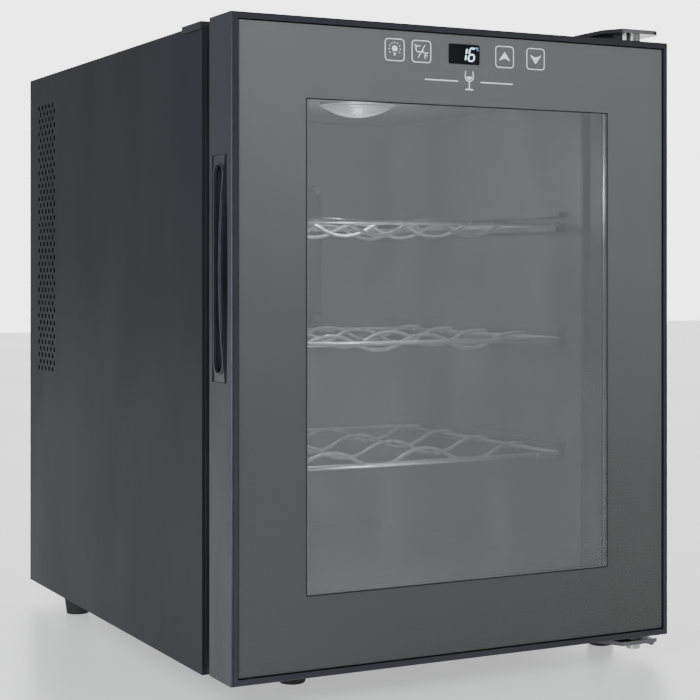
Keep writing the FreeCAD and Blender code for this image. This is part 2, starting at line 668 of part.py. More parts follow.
def bush(low, flange_low):
    """A flanged plastic bush round a hinge pin."""
    at = V(hinge_x, hinge_y, low)
    high = at + Z * (PIN_REACH + BUSH_SPARE)
    flange_at = V(hinge_x, hinge_y, flange_low)
    flange = rod(SHOULDER / 2 + BUSH_EDGE, flange_at, flange_at + Z * BUSH_FLANGE)
    bore = rod(PIN / 2 + PIN_CLEARANCE, at - Z * (BUSH_FLANGE + CUT), high + Z * (BUSH_FLANGE + CUT))
    return fused([rod(PIN / 2 + BUSH_WALL, at, high), flange]).cut(bore)


# ---- door ----
def bar_section():
    step = front + RIM_STEP_DEPTH
    return [(0, step + BAR_CHAMFER), (BAR_CHAMFER, step), (RIM_STEP, step), (RIM_STEP, front), (RIM, front),
            (RIM, core_front), (BAR_WALL, core_front), (BAR_WALL, core_back), (BAR_FLANGE, core_back),
            (BAR_FLANGE, door_back), (0, door_back)]


def pocket_outline(x, grow=0.0):
    """The handle pocket's mouth: straight at the rear, bowed forward at the front."""
    low = handle_middle - HANDLE_HEIGHT / 2 - grow
    high = handle_middle + HANDLE_HEIGHT / 2 + grow
    y0 = front + HANDLE_FRONT - grow
    y1 = front + HANDLE_REAR + grow
    bow = Part.Arc(V(x, y0, low), V(x, y0 - HANDLE_BOW, handle_middle), V(x, y0, high)).toShape()
    path = [V(x, y0, high), V(x, y1, high), V(x, y1, low), V(x, y0, low)]
    return Part.Wire([bow] + [Part.makeLine(a, b) for a, b in zip(path, path[1:])])


def slot_outline(x):
    """The finger slot: straight rear side, round ends, front side bowed back."""
    low = handle_middle - HANDLE_HEIGHT / 2 + SLOT_END
    high = handle_middle + HANDLE_HEIGHT / 2 - SLOT_END
    y_rear = front + HANDLE_REAR - SLOT_BORDER
    y_front = front + INSERT_EDGE + SLOT_BORDER
    middle = (y_rear + y_front) / 2
    round_end = (y_rear - y_front) / 2
    a, b = V(x, y_rear, low + round_end), V(x, y_front, low + round_end)
    c, d = V(x, y_front, high - round_end), V(x, y_rear, high - round_end)
    bow = Part.Arc(b, V(x, y_front + INSERT_BOW, handle_middle), c)
    ends = [Part.Arc(a, V(x, middle, low), b), Part.Arc(c, V(x, middle, high), d)]
    return Part.Wire([ends[0].toShape(), bow.toShape(), ends[1].toShape(), Part.makeLine(d, a)])


def frame_bars():
    left, right, bottom, top = mitred_bars(bar_section(), half, door_low, door_high)
    left = left.cut(Part.Face(pocket_outline(-half - CUT)).extrude(X * (BAR_WALL + 2 * CUT)))
    lower_hole, upper_hole = bush_holes()
    holes = drill([p - Y * (BAR_WALL + CUT) for p in door_screws()], Y, SCREW, BAR_WALL + 2 * CUT)
    return {"door_frame_left": left.cut(holes), "door_frame_right": right.cut(holes),
            "door_frame_bottom": bottom.cut(lower_hole).cut(holes),
            "door_frame_top": top.cut(upper_hole).cut(holes)}


def bush_holes():
    """Round holes for the lower and upper hinge bushes."""
    reach = Z * (PIN_REACH + BUSH_SPARE + CUT)
    low, high = V(hinge_x, hinge_y, door_low - CUT), V(hinge_x, hinge_y, door_high + CUT)
    radius = PIN / 2 + BUSH_WALL
    return rod(radius, low, low + reach), rod(radius, high - reach, high)


def door_screws():
    """Screws through the bars' rear flanges into the door core."""
    u = BAR_FLANGE * 0.6
    x = half - u
    heights = [door_low + SIDE_SCREW_END, door_high - SIDE_SCREW_END]
    places = [V(side * x, door_back, z) for side in (-1, 1) for z in heights]
    return places + [V(side * END_SCREW_SIDE, door_back, z) for side in (-1, 1) for z in (door_low + u,
                                                                                          door_high - u)]


def corner_keys():
    """L-shaped steel keys that hold the mitred corners together."""
    y1 = core_back - KEY_GAP
    y0 = y1 - KEY_WIDTH
    x = half - BAR_WALL
    low, high = door_low + BAR_WALL, door_high - BAR_WALL
    flat = box(x - KEY_LEG, x, y0, y1, low, low + KEY_THICKNESS)
    upright = box(x - KEY_THICKNESS, x, y0, y1, low, low + KEY_LEG)
    lower = fused([flat, upright])
    upper = lower.mirror(V(0, 0, (low + high) / 2), Z)
    return group([lower, upper, mirrored(lower), mirrored(upper)])


def door_core():
    outer = half - BAR_WALL
    block = box(-outer, outer, core_front, core_back, door_low + BAR_WALL, door_high - BAR_WALL)
    inner = INNER_PANE_MARGIN - FIT
    pane_room = box(-half + inner, half - inner, core_front - CUT, pane_rear, door_low + inner,
                    door_high - inner)
    window = box(-half + CORE_WINDOW, half - CORE_WINDOW, front, door_back, door_low + CORE_WINDOW,
                 door_high - CORE_WINDOW)
    controls = centred(BOARD_WIDTH + 2 * BOARD_ROOM, BOARD_HEIGHT + 2 * BOARD_ROOM, core_front - CUT,
                       core_front + DISPLAY_DEPTH + BOARD + BOARD_ROOM, z=board_z)
    pocket = Part.Face(pocket_outline(-half - CUT, FIT)).extrude(X * (HANDLE_DEPTH + CUT + FIT))
    groove = ring(dart_section(), half, door_low, door_high)
    core = block.cut(pane_room).cut(window).cut(controls).cut(pocket).cut(groove).cut(corner_keys())
    return core.cut(group(bush_holes())).cut(drill([p - Y * DOOR_SCREW for p in door_screws()], Y, SCREW,
                                                   DOOR_SCREW))


def dart_section():
    u = SEAL_MARGIN + (SEAL_WIDTH - SEAL_DART) / 2
    return [(u, core_back - SEAL_DART_DEPTH), (u + SEAL_DART, core_back - SEAL_DART_DEPTH),
            (u + SEAL_DART, core_back), (u, core_back)]


def gasket():
    """A folded rubber seal pressed into the door core's groove."""
    u0, u1 = SEAL_MARGIN, SEAL_MARGIN + SEAL_WIDTH
    y1 = frame_front - SEAL_CLEARANCE
    fold = (core_back + y1) / 2
    body = [(u0 + SEAL_NECK, core_back), (u0, core_back + SEAL_FOLD), (u0 + SEAL_FOLD, fold),
            (u0, y1 - SEAL_FOLD), (u0, y1), (u1, y1), (u1, y1 - SEAL_FOLD), (u1 - SEAL_FOLD, fold),
            (u1, core_back + SEAL_FOLD), (u1 - SEAL_NECK, core_back)]
    u = dart_section()
    outline = body + [u[2], u[1], u[0], u[3]]
    return ring(outline, half, door_low, door_high)


def spacer():
    u = SPACER_MARGIN
    return ring([(u, core_front), (u + SPACER, core_front), (u + SPACER, pane_back), (u, pane_back)],
                half, door_low, door_high)


def front_pane():
    u = RIM + GLASS_GAP
    return box(-half + u, half - u, pane_front, core_front, door_low + u, door_high - u)


def inner_pane():
    u = INNER_PANE_MARGIN
    return box(-half + u, half - u, pane_back, pane_rear, door_low + u, door_high - u)


def handle_cup():
    """The moulded cup behind the plate, open at the door's side."""
    face = -half + HANDLE_SINK + INSERT_WALL
    deep = -half + HANDLE_DEPTH - face
    outer = Part.Face(pocket_outline(face)).extrude(X * deep)
    inner = Part.Face(pocket_outline(face - CUT, -INSERT_WALL)).extrude(X * (deep + CUT - INSERT_WALL))
    return outer.cut(inner)


def handle_plate():
    """The bowed plate over the cup's rear part, with a lipped finger slot."""
    face = -half + HANDLE_SINK
    low, high = handle_middle - HANDLE_HEIGHT / 2, handle_middle + HANDLE_HEIGHT / 2
    y_edge, y_rear = front + INSERT_EDGE, front + HANDLE_REAR
    bow = Part.Arc(V(face, y_edge, low), V(face, y_edge + INSERT_BOW, handle_middle), V(face, y_edge, high))
    path = [V(face, y_edge, high), V(face, y_rear, high), V(face, y_rear, low), V(face, y_edge, low)]
    edges = [bow.toShape()] + [Part.makeLine(a, b) for a, b in zip(path, path[1:])]
    plate = Part.Face(Part.Wire(edges)).extrude(X * INSERT_WALL)
    slot = slot_outline(-half)
    lip = Part.Face(slot.makeOffset2D(SLOT_LIP)).extrude(X * (HANDLE_SINK + INSERT_WALL))
    opening = Part.Face(slot).extrude(X * (HANDLE_SINK + INSERT_WALL + CUT))
    return fused([plate, lip]).cut(opening)


def display():
    return centred(DISPLAY_WIDTH, DISPLAY_HEIGHT, core_front, core_front + DISPLAY_DEPTH, z=board_z)


def touch_pads():
    places = [V(x, core_front, board_z) for x in KEY_PLACES]
    return group([rod(KEY_PAD / 2, p, p + Y * DISPLAY_DEPTH) for p in places])


def control_board():
    y = core_front + DISPLAY_DEPTH
    return centred(BOARD_WIDTH, BOARD_HEIGHT, y, y + BOARD, z=board_z)


# ---- shelves ----
def wave_rod(y, level):
    """One cradle rod: tangent arcs between troughs and crests, straight to the side rods."""
    count = int(2 * shelf_half / CRADLE_PITCH)
    crest = level + WAVE_CREST
    trough = crest - WAVE_HEIGHT
    quarter = CRADLE_PITCH / 4
    drop = WAVE_HEIGHT / 2
    radius = (quarter ** 2 + drop ** 2) / (2 * drop)
    angle = math.asin(quarter / radius) / 2
    bulge = (radius * math.sin(angle), radius * (1 - math.cos(angle)))
    x = -count * CRADLE_PITCH / 2
    edges = [Part.makeLine(V(-shelf_half, y, crest), V(x, y, crest))]
    for _ in range(count):
        a, b, c = V(x, y, crest), V(x + quarter, y, crest - drop), V(x + 2 * quarter, y, trough)
        d, e = V(x + 3 * quarter, y, crest - drop), V(x + 4 * quarter, y, crest)
        edges.append(Part.Arc(a, V(a.x + bulge[0], y, crest - bulge[1]), b).toShape())
        edges.append(Part.Arc(b, V(c.x - bulge[0], y, trough + bulge[1]), c).toShape())
        edges.append(Part.Arc(c, V(c.x + bulge[0], y, trough + bulge[1]), d).toShape())
        edges.append(Part.Arc(d, V(e.x - bulge[0], y, crest - bulge[1]), e).toShape())
        x += CRADLE_PITCH
    edges.append(Part.makeLine(V(x, y, crest), V(shelf_half, y, crest)))
    path = Part.Wire(edges)
    start = Part.Wire([Part.makeCircle(WAVE_ROD / 2, V(-shelf_half, y, crest), X)])
    return path.makePipeShell([start], True, True)


def loop_half(level, side):
    """Half of the shelf's outer loop: a side rod with its two rounded corners."""
    x = side * shelf_half
    inner = side * (shelf_half - ROD_CORNER)
    turn = side * ROD_CORNER * (1 - math.sqrt(0.5))
    near = Part.Arc(V(inner, shelf_front, level), V(x - turn, shelf_front + abs(turn), level),
                    V(x, shelf_front + ROD_CORNER, level))
    far = Part.Arc(V(x, shelf_back - ROD_CORNER, level), V(x - turn, shelf_back - abs(turn), level),
                   V(inner, shelf_back, level))
    edges = [Part.makeLine(V(0, shelf_front, level), V(inner, shelf_front, level)), near.toShape(),
             Part.makeLine(V(x, shelf_front + ROD_CORNER, level), V(x, shelf_back - ROD_CORNER, level)),
             far.toShape(), Part.makeLine(V(inner, shelf_back, level), V(0, shelf_back, level))]
    start = Part.Wire([Part.makeCircle(ROD / 2, V(0, shelf_front, level), X)])
    return Part.Wire(edges).makePipeShell([start], True, True)


def shelf(level):
    rows = int((shelf_back - shelf_front) / WAVE_PITCH)
    waves = [wave_rod(shelf_front + (i + 1) * WAVE_PITCH, level) for i in range(rows)]
    return fused([loop_half(level, -1), loop_half(level, 1)] + waves)


# ---- lamp and sensor ----
def lamp_lens():
    rim_z = cavity_high - LAMP_RIM
    ball = (LAMP_RADIUS ** 2 + LAMP_DROP ** 2) / (2 * LAMP_DROP)
    centre = V(0, lamp_y, rim_z - LAMP_DROP + ball)
    below = box(-LAMP_RADIUS, LAMP_RADIUS, lamp_y - LAMP_RADIUS, lamp_y + LAMP_RADIUS, rim_z - LAMP_DROP,
                rim_z)
    dome = Part.makeSphere(ball, centre).common(below)
    hollow = Part.makeSphere(ball - LAMP_WALL, centre).common(below)
    at = V(0, lamp_y, rim_z)
    bore = LAMP_RADIUS - CLIP_INSET - CLIP_WALL
    rim = rod(LAMP_RADIUS + LAMP_FLANGE, at, at + Z * LAMP_RIM).cut(rod(bore, at, at + Z * LAMP_RIM))
    clip_high = at + Z * (LAMP_RIM + LINER)
    clip = rod(LAMP_RADIUS - CLIP_INSET, at, clip_high).cut(rod(bore, at, clip_high))
    return fused([dome.cut(hollow), rim, clip])


def lamp_housing():
    at = V(0, lamp_y, cavity_high + LINER)
    cup = rod(LAMP_RADIUS - CUP_INSET, at, at + Z * LAMP_CUP)
    return cup.cut(rod(LAMP_RADIUS - CUP_INSET - LAMP_WALL, at, at + Z * (LAMP_CUP - LAMP_WALL)))


def lamp_board():
    at = V(0, lamp_y, cavity_high + LINER + LAMP_CUP - LAMP_WALL - BOARD)
    disc = rod(LAMP_RADIUS - CLIP_INSET - LAMP_WALL, at, at + Z * BOARD)
    corner = V(LIGHT / 2, LIGHT / 2, LIGHT_HEIGHT)
    lights = []
    for i in range(LIGHTS):
        angle = 2 * math.pi * i / LIGHTS
        spot = at + V(LIGHT_CIRCLE * math.cos(angle), LIGHT_CIRCLE * math.sin(angle), 0)
        lights.append(Part.makeBox(LIGHT, LIGHT, LIGHT_HEIGHT, spot - corner))
    return fused([disc] + lights)


def sensor_stud():
    """The sensor clip's barb, through the liner into the foam."""
    wall = V(-cavity_half, sensor_y, sensor_z)
    return rod(SCREW / 2, wall - X * (LINER + SENSOR_BARB), wall)


def temperature_sensor():
    depth, height, thickness = SENSOR
    clip = box(-cavity_half, thickness - cavity_half, sensor_y - depth / 2, sensor_y + depth / 2,
               sensor_z - height / 2, sensor_z + height / 2)
    return fused([clip, sensor_stud()])


# ---- cooling unit ----
def cover_screws():
    reach = COVER_SIZE / 2 - COVER_SCREW_IN
    return [V(sx * reach, cavity_back - COVER_WALL, cooler_z + sz * reach) for sx in (-1,
                                                                                      1) for sz in (-1, 1)]


def inner_fan_cover():
    y0 = cavity_back - COVER_DEPTH
    outside = COVER_SIZE - 2 * COVER_RIM
    shell = centred(outside, outside, y0, cavity_back, z=cooler_z)
    room = outside - 2 * COVER_WALL
    hollow = centred(room, room, y0 + COVER_WALL, cavity_back + CUT, z=cooler_z)
    rim = centred(COVER_SIZE, COVER_SIZE, cavity_back - COVER_WALL, cavity_back, z=cooler_z)
    cover = fused([shell, rim]).cut(hollow)
    front_slots, side_slots = [], []
    for i in range(COVER_FRONT_SLOTS):
        z = COVER_FRONT_PITCH * (i - (COVER_FRONT_SLOTS - 1) / 2)
        reach = math.sqrt((INNER_FAN / 2 - COVER_WALL) ** 2 - z ** 2)
        front_slots.append(centred(2 * reach, COVER_FRONT_SLOT, y0 - CUT, y0 + COVER_WALL + CUT,
                                   z=cooler_z + z))
    for i in range(COVER_SIDE_SLOTS):
        x = COVER_SIDE_PITCH * (i - (COVER_SIDE_SLOTS - 1) / 2)
        side_slots.append(centred(COVER_SIDE_SLOT, COVER_SIZE, y0 + COVER_SIDE_MARGIN,
                                  y0 + COVER_DEPTH - COVER_SIDE_MARGIN, x=x, z=cooler_z))
    cover = cover.cut(group(front_slots)).cut(group(side_slots))
    return cover.cut(drill([p - Y * CUT for p in cover_screws()], Y, SCREW, COVER_WALL + 2 * CUT))


def fan_frame(size, y0, depth):
    """A square fan frame: a round duct, and a motor cup on three struts at its rear, bored for the shaft."""
    middle = V(0, y0, cooler_z)
    duct = size / 2 - DUCT_WALL
    through = middle + Y * (depth + CUT)
    frame = centred(size, size, y0, y0 + depth, z=cooler_z).cut(rod(duct, middle - Y * CUT, through))
    hole = size / 2 - FAN_HOLE_IN
    holes = [V(sx * hole, y0 - CUT, cooler_z + sz * hole) for sx in (-1, 1) for sz in (-1, 1)]
    frame = frame.cut(drill(holes, Y, FAN_HOLE, depth + 2 * CUT))
    strut_y = y0 + depth - STRUT_DEPTH
    cup = rod(size * HUB, V(0, strut_y, cooler_z), V(0, strut_y + STRUT_DEPTH, cooler_z))
    struts = []
    for turn in (0, 120, 240):
        strut = box(-STRUT / 2, STRUT / 2, strut_y, strut_y + STRUT_DEPTH, cooler_z, cooler_z + duct + CUT)
        struts.append(strut.rotate(middle, Y, turn))
    whole = fused([frame, cup] + struts)
    return whole.cut(rod(FAN_SHAFT / 2 + PIN_CLEARANCE, middle - Y * CUT, through))


def fan_rotor(size, y0, depth):
    """A hub with pitched blades and a shaft that runs in the frame's bore."""
    low, high = y0 + FAN_RUNNING_GAP, y0 + depth - STRUT_DEPTH - FAN_RUNNING_GAP
    hub = rod(size * HUB, V(0, low, cooler_z), V(0, high, cooler_z))
    shaft = rod(FAN_SHAFT / 2, V(0, low, cooler_z), V(0, y0 + depth - FAN_RUNNING_GAP, cooler_z))
    tip = size / 2 - DUCT_WALL - FAN_TIP_GAP
    chord = (high - low) / math.cos(math.radians(BLADE_LEAN)) - BLADE_END
    root = size * BLADE_ROOT
    centre = V(0, (low + high) / 2, cooler_z)
    blades = []
    for i in range(BLADES):
        blade = Part.makeBox(BLADE, chord, tip - root, centre + V(-BLADE / 2, -chord / 2, root))
        blade = blade.rotate(centre, Z, BLADE_LEAN)
        blades.append(blade.rotate(centre, Y, 360 / BLADES * i))
    inside = rod(tip, V(0, low, cooler_z), V(0, high, cooler_z))
    wheel = fused([hub] + blades).common(inside)
    return fused([wheel, shaft])


def finned_sink(size, base_y0, base, fins_y0, fins_y1):
    plate = centred(size, size, base_y0, base_y0 + base, z=cooler_z)
    count = int((size - FIN) / FIN_PITCH)
    start = -count * FIN_PITCH / 2
    fins = [centred(FIN, size, fins_y0, fins_y1, x=start + i * FIN_PITCH,
                    z=cooler_z) for i in range(count + 1)]
    return fused([plate] + fins)


def cold_sink():
    fins_front = sink_back - SINK_BASE - COLD_FINS
    return finned_sink(COLD_SINK, sink_back - SINK_BASE, SINK_BASE, fins_front, sink_back - SINK_BASE)


def hot_sink():
    y0 = module_back
    return finned_sink(HOT_SINK, y0, HOT_BASE, y0 + HOT_BASE, y0 + HOT_BASE + HOT_FINS)


def spacer_block():
    return centred(MODULE, MODULE, sink_back, module_back - MODULE_THICKNESS, z=cooler_z)


def cooling_module():
    return centred(MODULE, MODULE, module_back - MODULE_THICKNESS, module_back, z=cooler_z)


# ---- electrics ----
def standoffs():
    dx, dz = POWER_BOARD[0] / 2 - STANDOFF_IN, POWER_BOARD[1] / 2 - STANDOFF_IN
    places = [V(sx * dx, foam_back, power_board_z + sz * dz) for sx in (-1, 1) for sz in (-1, 1)]
    return group([rod(STANDOFF_RADIUS, p, p + Y * STANDOFF) for p in places])


def power_board():
    y = foam_back + STANDOFF
    top = y + BOARD
    board = centred(*POWER_BOARD, y, top, z=power_board_z)
    parts = [centred(TRANSFORMER[0], TRANSFORMER[1], top, top + TRANSFORMER[2], x=TRANSFORMER_X,
                     z=power_board_z)]
    can = V(CAPACITOR_AT[0], top, power_board_z + CAPACITOR_AT[1])
    parts.append(rod(CAPACITOR, can, can + Y * CAPACITOR_HEIGHT))
    parts.append(centred(HEAT_PLATE[0], HEAT_PLATE[1], top, top + HEAT_PLATE[2],
                         x=HEAT_PLATE_AT[0], z=power_board_z + HEAT_PLATE_AT[1]))
    for side in (-1, 1):
        parts.append(centred(PLUG[0], PLUG[1], top, top + PLUG[2], x=PLUG_AT[0],
                             z=power_board_z + side * PLUG_AT[1]))
    return fused([board] + parts)


def mains_inlet():
    """A three-pin appliance inlet in the back cover."""
    y1 = cover_face
    floor = y1 - INLET_MOUTH_DEPTH
    body = centred(INLET[0] - FIT, INLET[1] - FIT, y1 - INLET_DEPTH, y1, x=inlet_x, z=inlet_z)
    flange = centred(*INLET_FLANGE, y1, y1 + INLET_FLANGE_THICKNESS, x=inlet_x, z=inlet_z)
    mouth = centred(*INLET_MOUTH, floor, y1 + INLET_FLANGE_THICKNESS + CUT, x=inlet_x, z=inlet_z)
    pins = [centred(*INLET_PIN, floor - CUT, floor - CUT + INLET_PIN_REACH, x=inlet_x + dx, z=inlet_z + dz)
            for dx, dz in INLET_PINS]
    return fused([fused([body, flange]).cut(mouth)] + pins)


# ---- every piece, one file each ----
pieces = {
    "left_side_panel": left_panel(),
    "right_side_panel": mirrored(left_panel()),
    "top_panel": top_panel(),
    "base_panel": base_panel(),
    "back_cover": back_cover(),
    "back_cover_screws": group([screw(p, Y * -1, SMALL_SCREW) for p in back_screws()]),
    "top_front_trim": top_trim(),
    "front_frame": front_frame(),
    "inner_liner": inner_liner(),
    "insulation_foam": insulation(),
    "hinge_backing_plates": backing_plates(),
    "front_left_foot": front_foot(front_feet_x[0]),
    "front_right_foot": front_foot(front_feet_x[1]),
    "foot_sockets": foot_sockets(),
    "rear_feet": group([rear_foot(p) for p in rear_foot_places()]),
    "rear_foot_screws": group([screw(p, Z, REAR_FOOT_SCREW) for p in rear_foot_places(FOOT_HEIGHT / 2)]),
    "top_hinge_bracket": top_bracket(),
    "top_hinge_pin": top_pin(),
    "top_hinge_screws": group([hinge_screw(p, Z * -1, TOP_SCREW) for p in top_hinge_screws()]),
    "bottom_hinge_bracket": bottom_bracket(),
    "bottom_hinge_pin": bottom_pin(),
    "bottom_hinge_screws": group([hinge_screw(p, Z, BOTTOM_SCREW) for p in bottom_hinge_screws()]),
    "upper_hinge_bush": bush(door_high - PIN_REACH - BUSH_SPARE, door_high),
    "lower_hinge_bush": bush(door_low, door_low - BUSH_FLANGE),
    "door_core": door_core(),
    "door_corner_keys": corner_keys(),
    "door_frame_screws": group([screw(p, Y * -1, DOOR_SCREW) for p in door_screws()]),
    "door_gasket": gasket(),
    "front_glass": front_pane(),
    "inner_glass": inner_pane(),
    "glass_spacer": spacer(),
    "handle_cup": handle_cup(),
    "handle_plate": handle_plate(),
    "display_module": display(),
    "touch_pads": touch_pads(),
    "control_board": control_board(),
    "lamp_lens": lamp_lens(),
    "lamp_housing": lamp_housing(),
    "lamp_board": lamp_board(),
    "temperature_sensor": temperature_sensor(),
    "inner_fan_cover": inner_fan_cover(),
    "inner_cover_screws": group([screw(p, Y, COVER_SCREW) for p in cover_screws()]),
    "inner_fan_frame": fan_frame(INNER_FAN, inner_fan_front, INNER_FAN_DEPTH),
    "inner_fan_rotor": fan_rotor(INNER_FAN, inner_fan_front, INNER_FAN_DEPTH),
    "cold_sink": cold_sink(),
    "cold_spacer_block": spacer_block(),
    "thermoelectric_module": cooling_module(),
    "hot_sink": hot_sink(),
    "rear_fan_frame": fan_frame(REAR_FAN, rear_fan_front, REAR_FAN_DEPTH),
    "rear_fan_rotor": fan_rotor(REAR_FAN, rear_fan_front, REAR_FAN_DEPTH),
    "power_board": power_board(),
    "power_board_standoffs": standoffs(),
    "mains_inlet": mains_inlet(),
}
pieces.update(frame_bars())
for number, level in enumerate(shelf_levels, 1):
    pieces[f"wire_shelf_{number}"] = shelf(level)
for name, shape in pieces.items():
    save(name, shape)
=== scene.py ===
import json
import math

import bmesh
import bpy
import numpy as np
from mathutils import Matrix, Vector


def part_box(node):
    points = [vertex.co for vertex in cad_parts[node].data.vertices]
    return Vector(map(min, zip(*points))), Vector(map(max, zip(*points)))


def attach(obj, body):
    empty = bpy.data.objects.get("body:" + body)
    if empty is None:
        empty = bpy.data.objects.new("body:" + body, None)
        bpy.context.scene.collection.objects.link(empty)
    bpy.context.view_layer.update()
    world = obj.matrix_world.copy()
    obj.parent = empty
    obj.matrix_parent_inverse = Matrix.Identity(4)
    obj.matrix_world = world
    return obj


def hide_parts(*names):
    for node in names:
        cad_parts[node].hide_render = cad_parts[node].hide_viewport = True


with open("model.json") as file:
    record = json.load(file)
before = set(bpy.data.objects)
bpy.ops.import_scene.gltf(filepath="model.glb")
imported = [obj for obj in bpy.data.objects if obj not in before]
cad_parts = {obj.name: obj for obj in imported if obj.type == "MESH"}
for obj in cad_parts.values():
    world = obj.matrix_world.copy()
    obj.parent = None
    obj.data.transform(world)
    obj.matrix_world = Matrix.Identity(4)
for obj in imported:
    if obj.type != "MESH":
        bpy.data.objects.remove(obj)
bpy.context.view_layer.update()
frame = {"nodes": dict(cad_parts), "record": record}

# A counter-top wine cooler: the imported CAD pieces get their finishes, and rods, lens, feet, printed glass
# with a painted reflection and key symbols are made here. Metres, the door faces -Y.
MM = 0.001

# ---- sizes ----
PRINT_MARGIN = 53 * MM      # window's edge from the door's edge
PRINT_DEPTH = 0.6 * MM      # print behind the glass's front
PRINT_THICKNESS = 2.6 * MM
PRINT_LINE = 0.7 * MM       # fine dark line round the window
PRINT_STRIP = 1.7 * MM      # paler strip inside that line
SYMBOL_DEPTH = 0.35 * MM    # symbols behind the glass's front
SYMBOL_THICKNESS = 0.1 * MM
KEY_DROP = 18 * MM          # keys below the door's top
EMBLEM_DROP = 35.5 * MM
LOOP_ROD = 3.5 * MM
WAVE_ROD = 3 * MM
WAVE_CREST = 3 * MM
WAVE_HEIGHT = 11 * MM
CRADLE_PITCH = 80 * MM
CRADLES = 3
WAVE_PITCH = 55 * MM
ROD_CORNER = 9 * MM
LENS_RADIUS = 28 * MM
LENS_DROP = 9 * MM
LENS_RINGS = 9
FOOT_DISC = 7 * MM
FOOT_RIBS = 28
STUD_RADIUS = 4 * MM
STUD_MEAN = 0.955           # the thread's mean radius as a share of the stud's
THREAD_PITCH = 1.25 * MM
WELD_REACH = 1.9 * MM       # half of a weld bead, along the rod and up
WELD_RISE = 1.6 * MM
WELD_IN = 0.3 * MM
LENS_RIDGE = 0.35 * MM
LENS_LIP = 1 * MM
LENS_EDGE = 2 * MM
SHARP_ANGLE = 35.0          # edges sharper than this, in degrees, stay sharp
BEVEL_STEPS = 2

# The symbols on the glass are drawn in millimetres.
KEY_SIZE = 15.0
KEY_CORNER = 2.6
KEY_STROKE = 0.55
LIGHT_KEY_X, UNIT_KEY_X, WARMER_KEY_X, COLDER_KEY_X = -54.0, -33.5, 32.5, 58.0
EMBLEM_X = 4.0
EMBLEM_LINE = 22.0          # middle of each line beside the emblem, from the emblem


# ---- finishes ----
class Socket:
    """One output of a finish's node tree. Arithmetic adds Math nodes, and node() adds any other node."""

    def __init__(self, tree, output=None):
        self.tree, self.output = tree, output

    def node(self, kind, settings=(), inputs=(), output=0):
        made = self.tree.nodes.new("ShaderNode" + kind)
        for name, value in dict(settings).items():
            setattr(made, name, value)
        for name, value in dict(inputs).items():
            if isinstance(value, Socket):
                self.tree.links.new(value.output, made.inputs[name])
            else:
                made.inputs[name].default_value = value
        return Socket(self.tree, made.outputs[output] if len(made.outputs) else None)

    def math(self, operation, *values):
        return self.node("Math", {"operation": operation}, enumerate(values))

    def __add__(self, other):
        return self.math("ADD", self, other)

    def __radd__(self, other):
        return self.math("ADD", other, self)

    def __mul__(self, other):
        return self.math("MULTIPLY", self, other)

    def __rmul__(self, other):
        return self.math("MULTIPLY", other, self)


def stretched(where, scale):
    return where.node("VectorMath", {"operation": "MULTIPLY"}, {0: where, 1: scale})


def noise(where, scale, detail=2.0, rough=0.5):
    return where.node("TexNoise", (), {"Vector": where, "Scale": scale, "Detail": detail, "Roughness": rough})


def step(value, low, high):
    """0 below low, 1 above high, and smooth between."""
    settings = {"interpolation_type": "SMOOTHSTEP"}
    return value.node("MapRange", settings, {"Value": value, "From Min": low, "From Max": high})


def mixed(factor, a, b):
    return factor.node("Mix", {"data_type": "RGBA"}, {0: factor, 6: (*a, 1.0), 7: (*b, 1.0)}, 2)


def bumped(height, distance):
    return height.node("Bump", (), {"Strength": 1.0, "Distance": distance, "Height": height})


def finish(name, build):
    """A material whose surface build() makes from the object's own coordinates."""
    made = bpy.data.materials.new(name)
    made.use_nodes = True
    made.node_tree.nodes.clear()
    where = Socket(made.node_tree).node("TexCoord", output="Object")
    where.node("OutputMaterial", (), {"Surface": build(where)})
    return made


def coated(dark, light, rough, grain, height, blotch=7.0, stretch=(1, 1, 1), metallic=0.0, sheen=0.5):
    """Paint, plastic, rubber or metal: a fine grain in the height, and broad drifts in colour and gloss."""
    def build(where):
        fine = noise(stretched(where, stretch), grain)
        broad = noise(where, blotch, 4.0, 0.6)
        smear = noise(stretched(where, (1.0, 1.0, 0.35)), blotch * 3.1, 3.0, 0.65)
        tone = step(broad * 0.7 + fine * 0.3, 0.3, 0.7)
        gloss = step(smear, 0.35, 0.7) * 0.7 + fine * 0.3
        return where.node("BsdfPrincipled", (), {
            "Base Color": mixed(tone, dark, light), "Metallic": metallic, "Specular IOR Level": sheen,
            "Roughness": gloss * (rough[1] - rough[0]) + rough[0],
            "Normal": bumped(fine, height)})
    return build


def glazed(share, tint, rough):
    """Clear glass: mostly seen through, with faint wipe marks in its gloss."""
    def build(where):
        wipe = step(noise(stretched(where, (3.0, 1.0, 0.8)), 9.0, 4.0, 0.6), 0.4, 0.75)
        gloss = where.node("BsdfPrincipled", (), {
            "Base Color": mixed(wipe, tint, tuple(c * 1.15 for c in tint)), "Roughness": wipe * 0.05 + rough,
            "Normal": bumped(noise(where, 3.0), 0.00001)})
        clear = where.node("BsdfTransparent", (), {"Color": (1.0, 1.0, 1.0, 1.0)})
        return where.node("MixShader", (), {0: wipe * 0.02 + share, 1: clear, 2: gloss})
    return build


def printed_with_painted_reflection(where):
    """Dark grey enamel under the glass, with a painted reflection that makes it paler towards the top and
    right.
    """
    x, _, z = split(where)
    # Painted reflection: rise makes the print paler towards the top and right, and tone mixes that with a
    # random drift.
    rise = step(z + x * 0.35, 0.0, 0.52)
    dots = noise(where, 2600.0)
    tone = step(rise * 0.8 + noise(where, 3.0, 3.0) * 0.2, 0.05, 0.95)
    return where.node("BsdfPrincipled", (), {
        "Base Color": mixed(tone, PRINT_DARK, PRINT_PALE_PAINTED_REFLECTION), "Roughness": dots * 0.1 + 0.42,
        "Normal": bumped(dots, 0.00001)})


def split(where):
    made = where.node("SeparateXYZ", (), {0: where})
    outputs = made.output.node.outputs
    return tuple(Socket(where.tree, outputs[i]) for i in range(3))


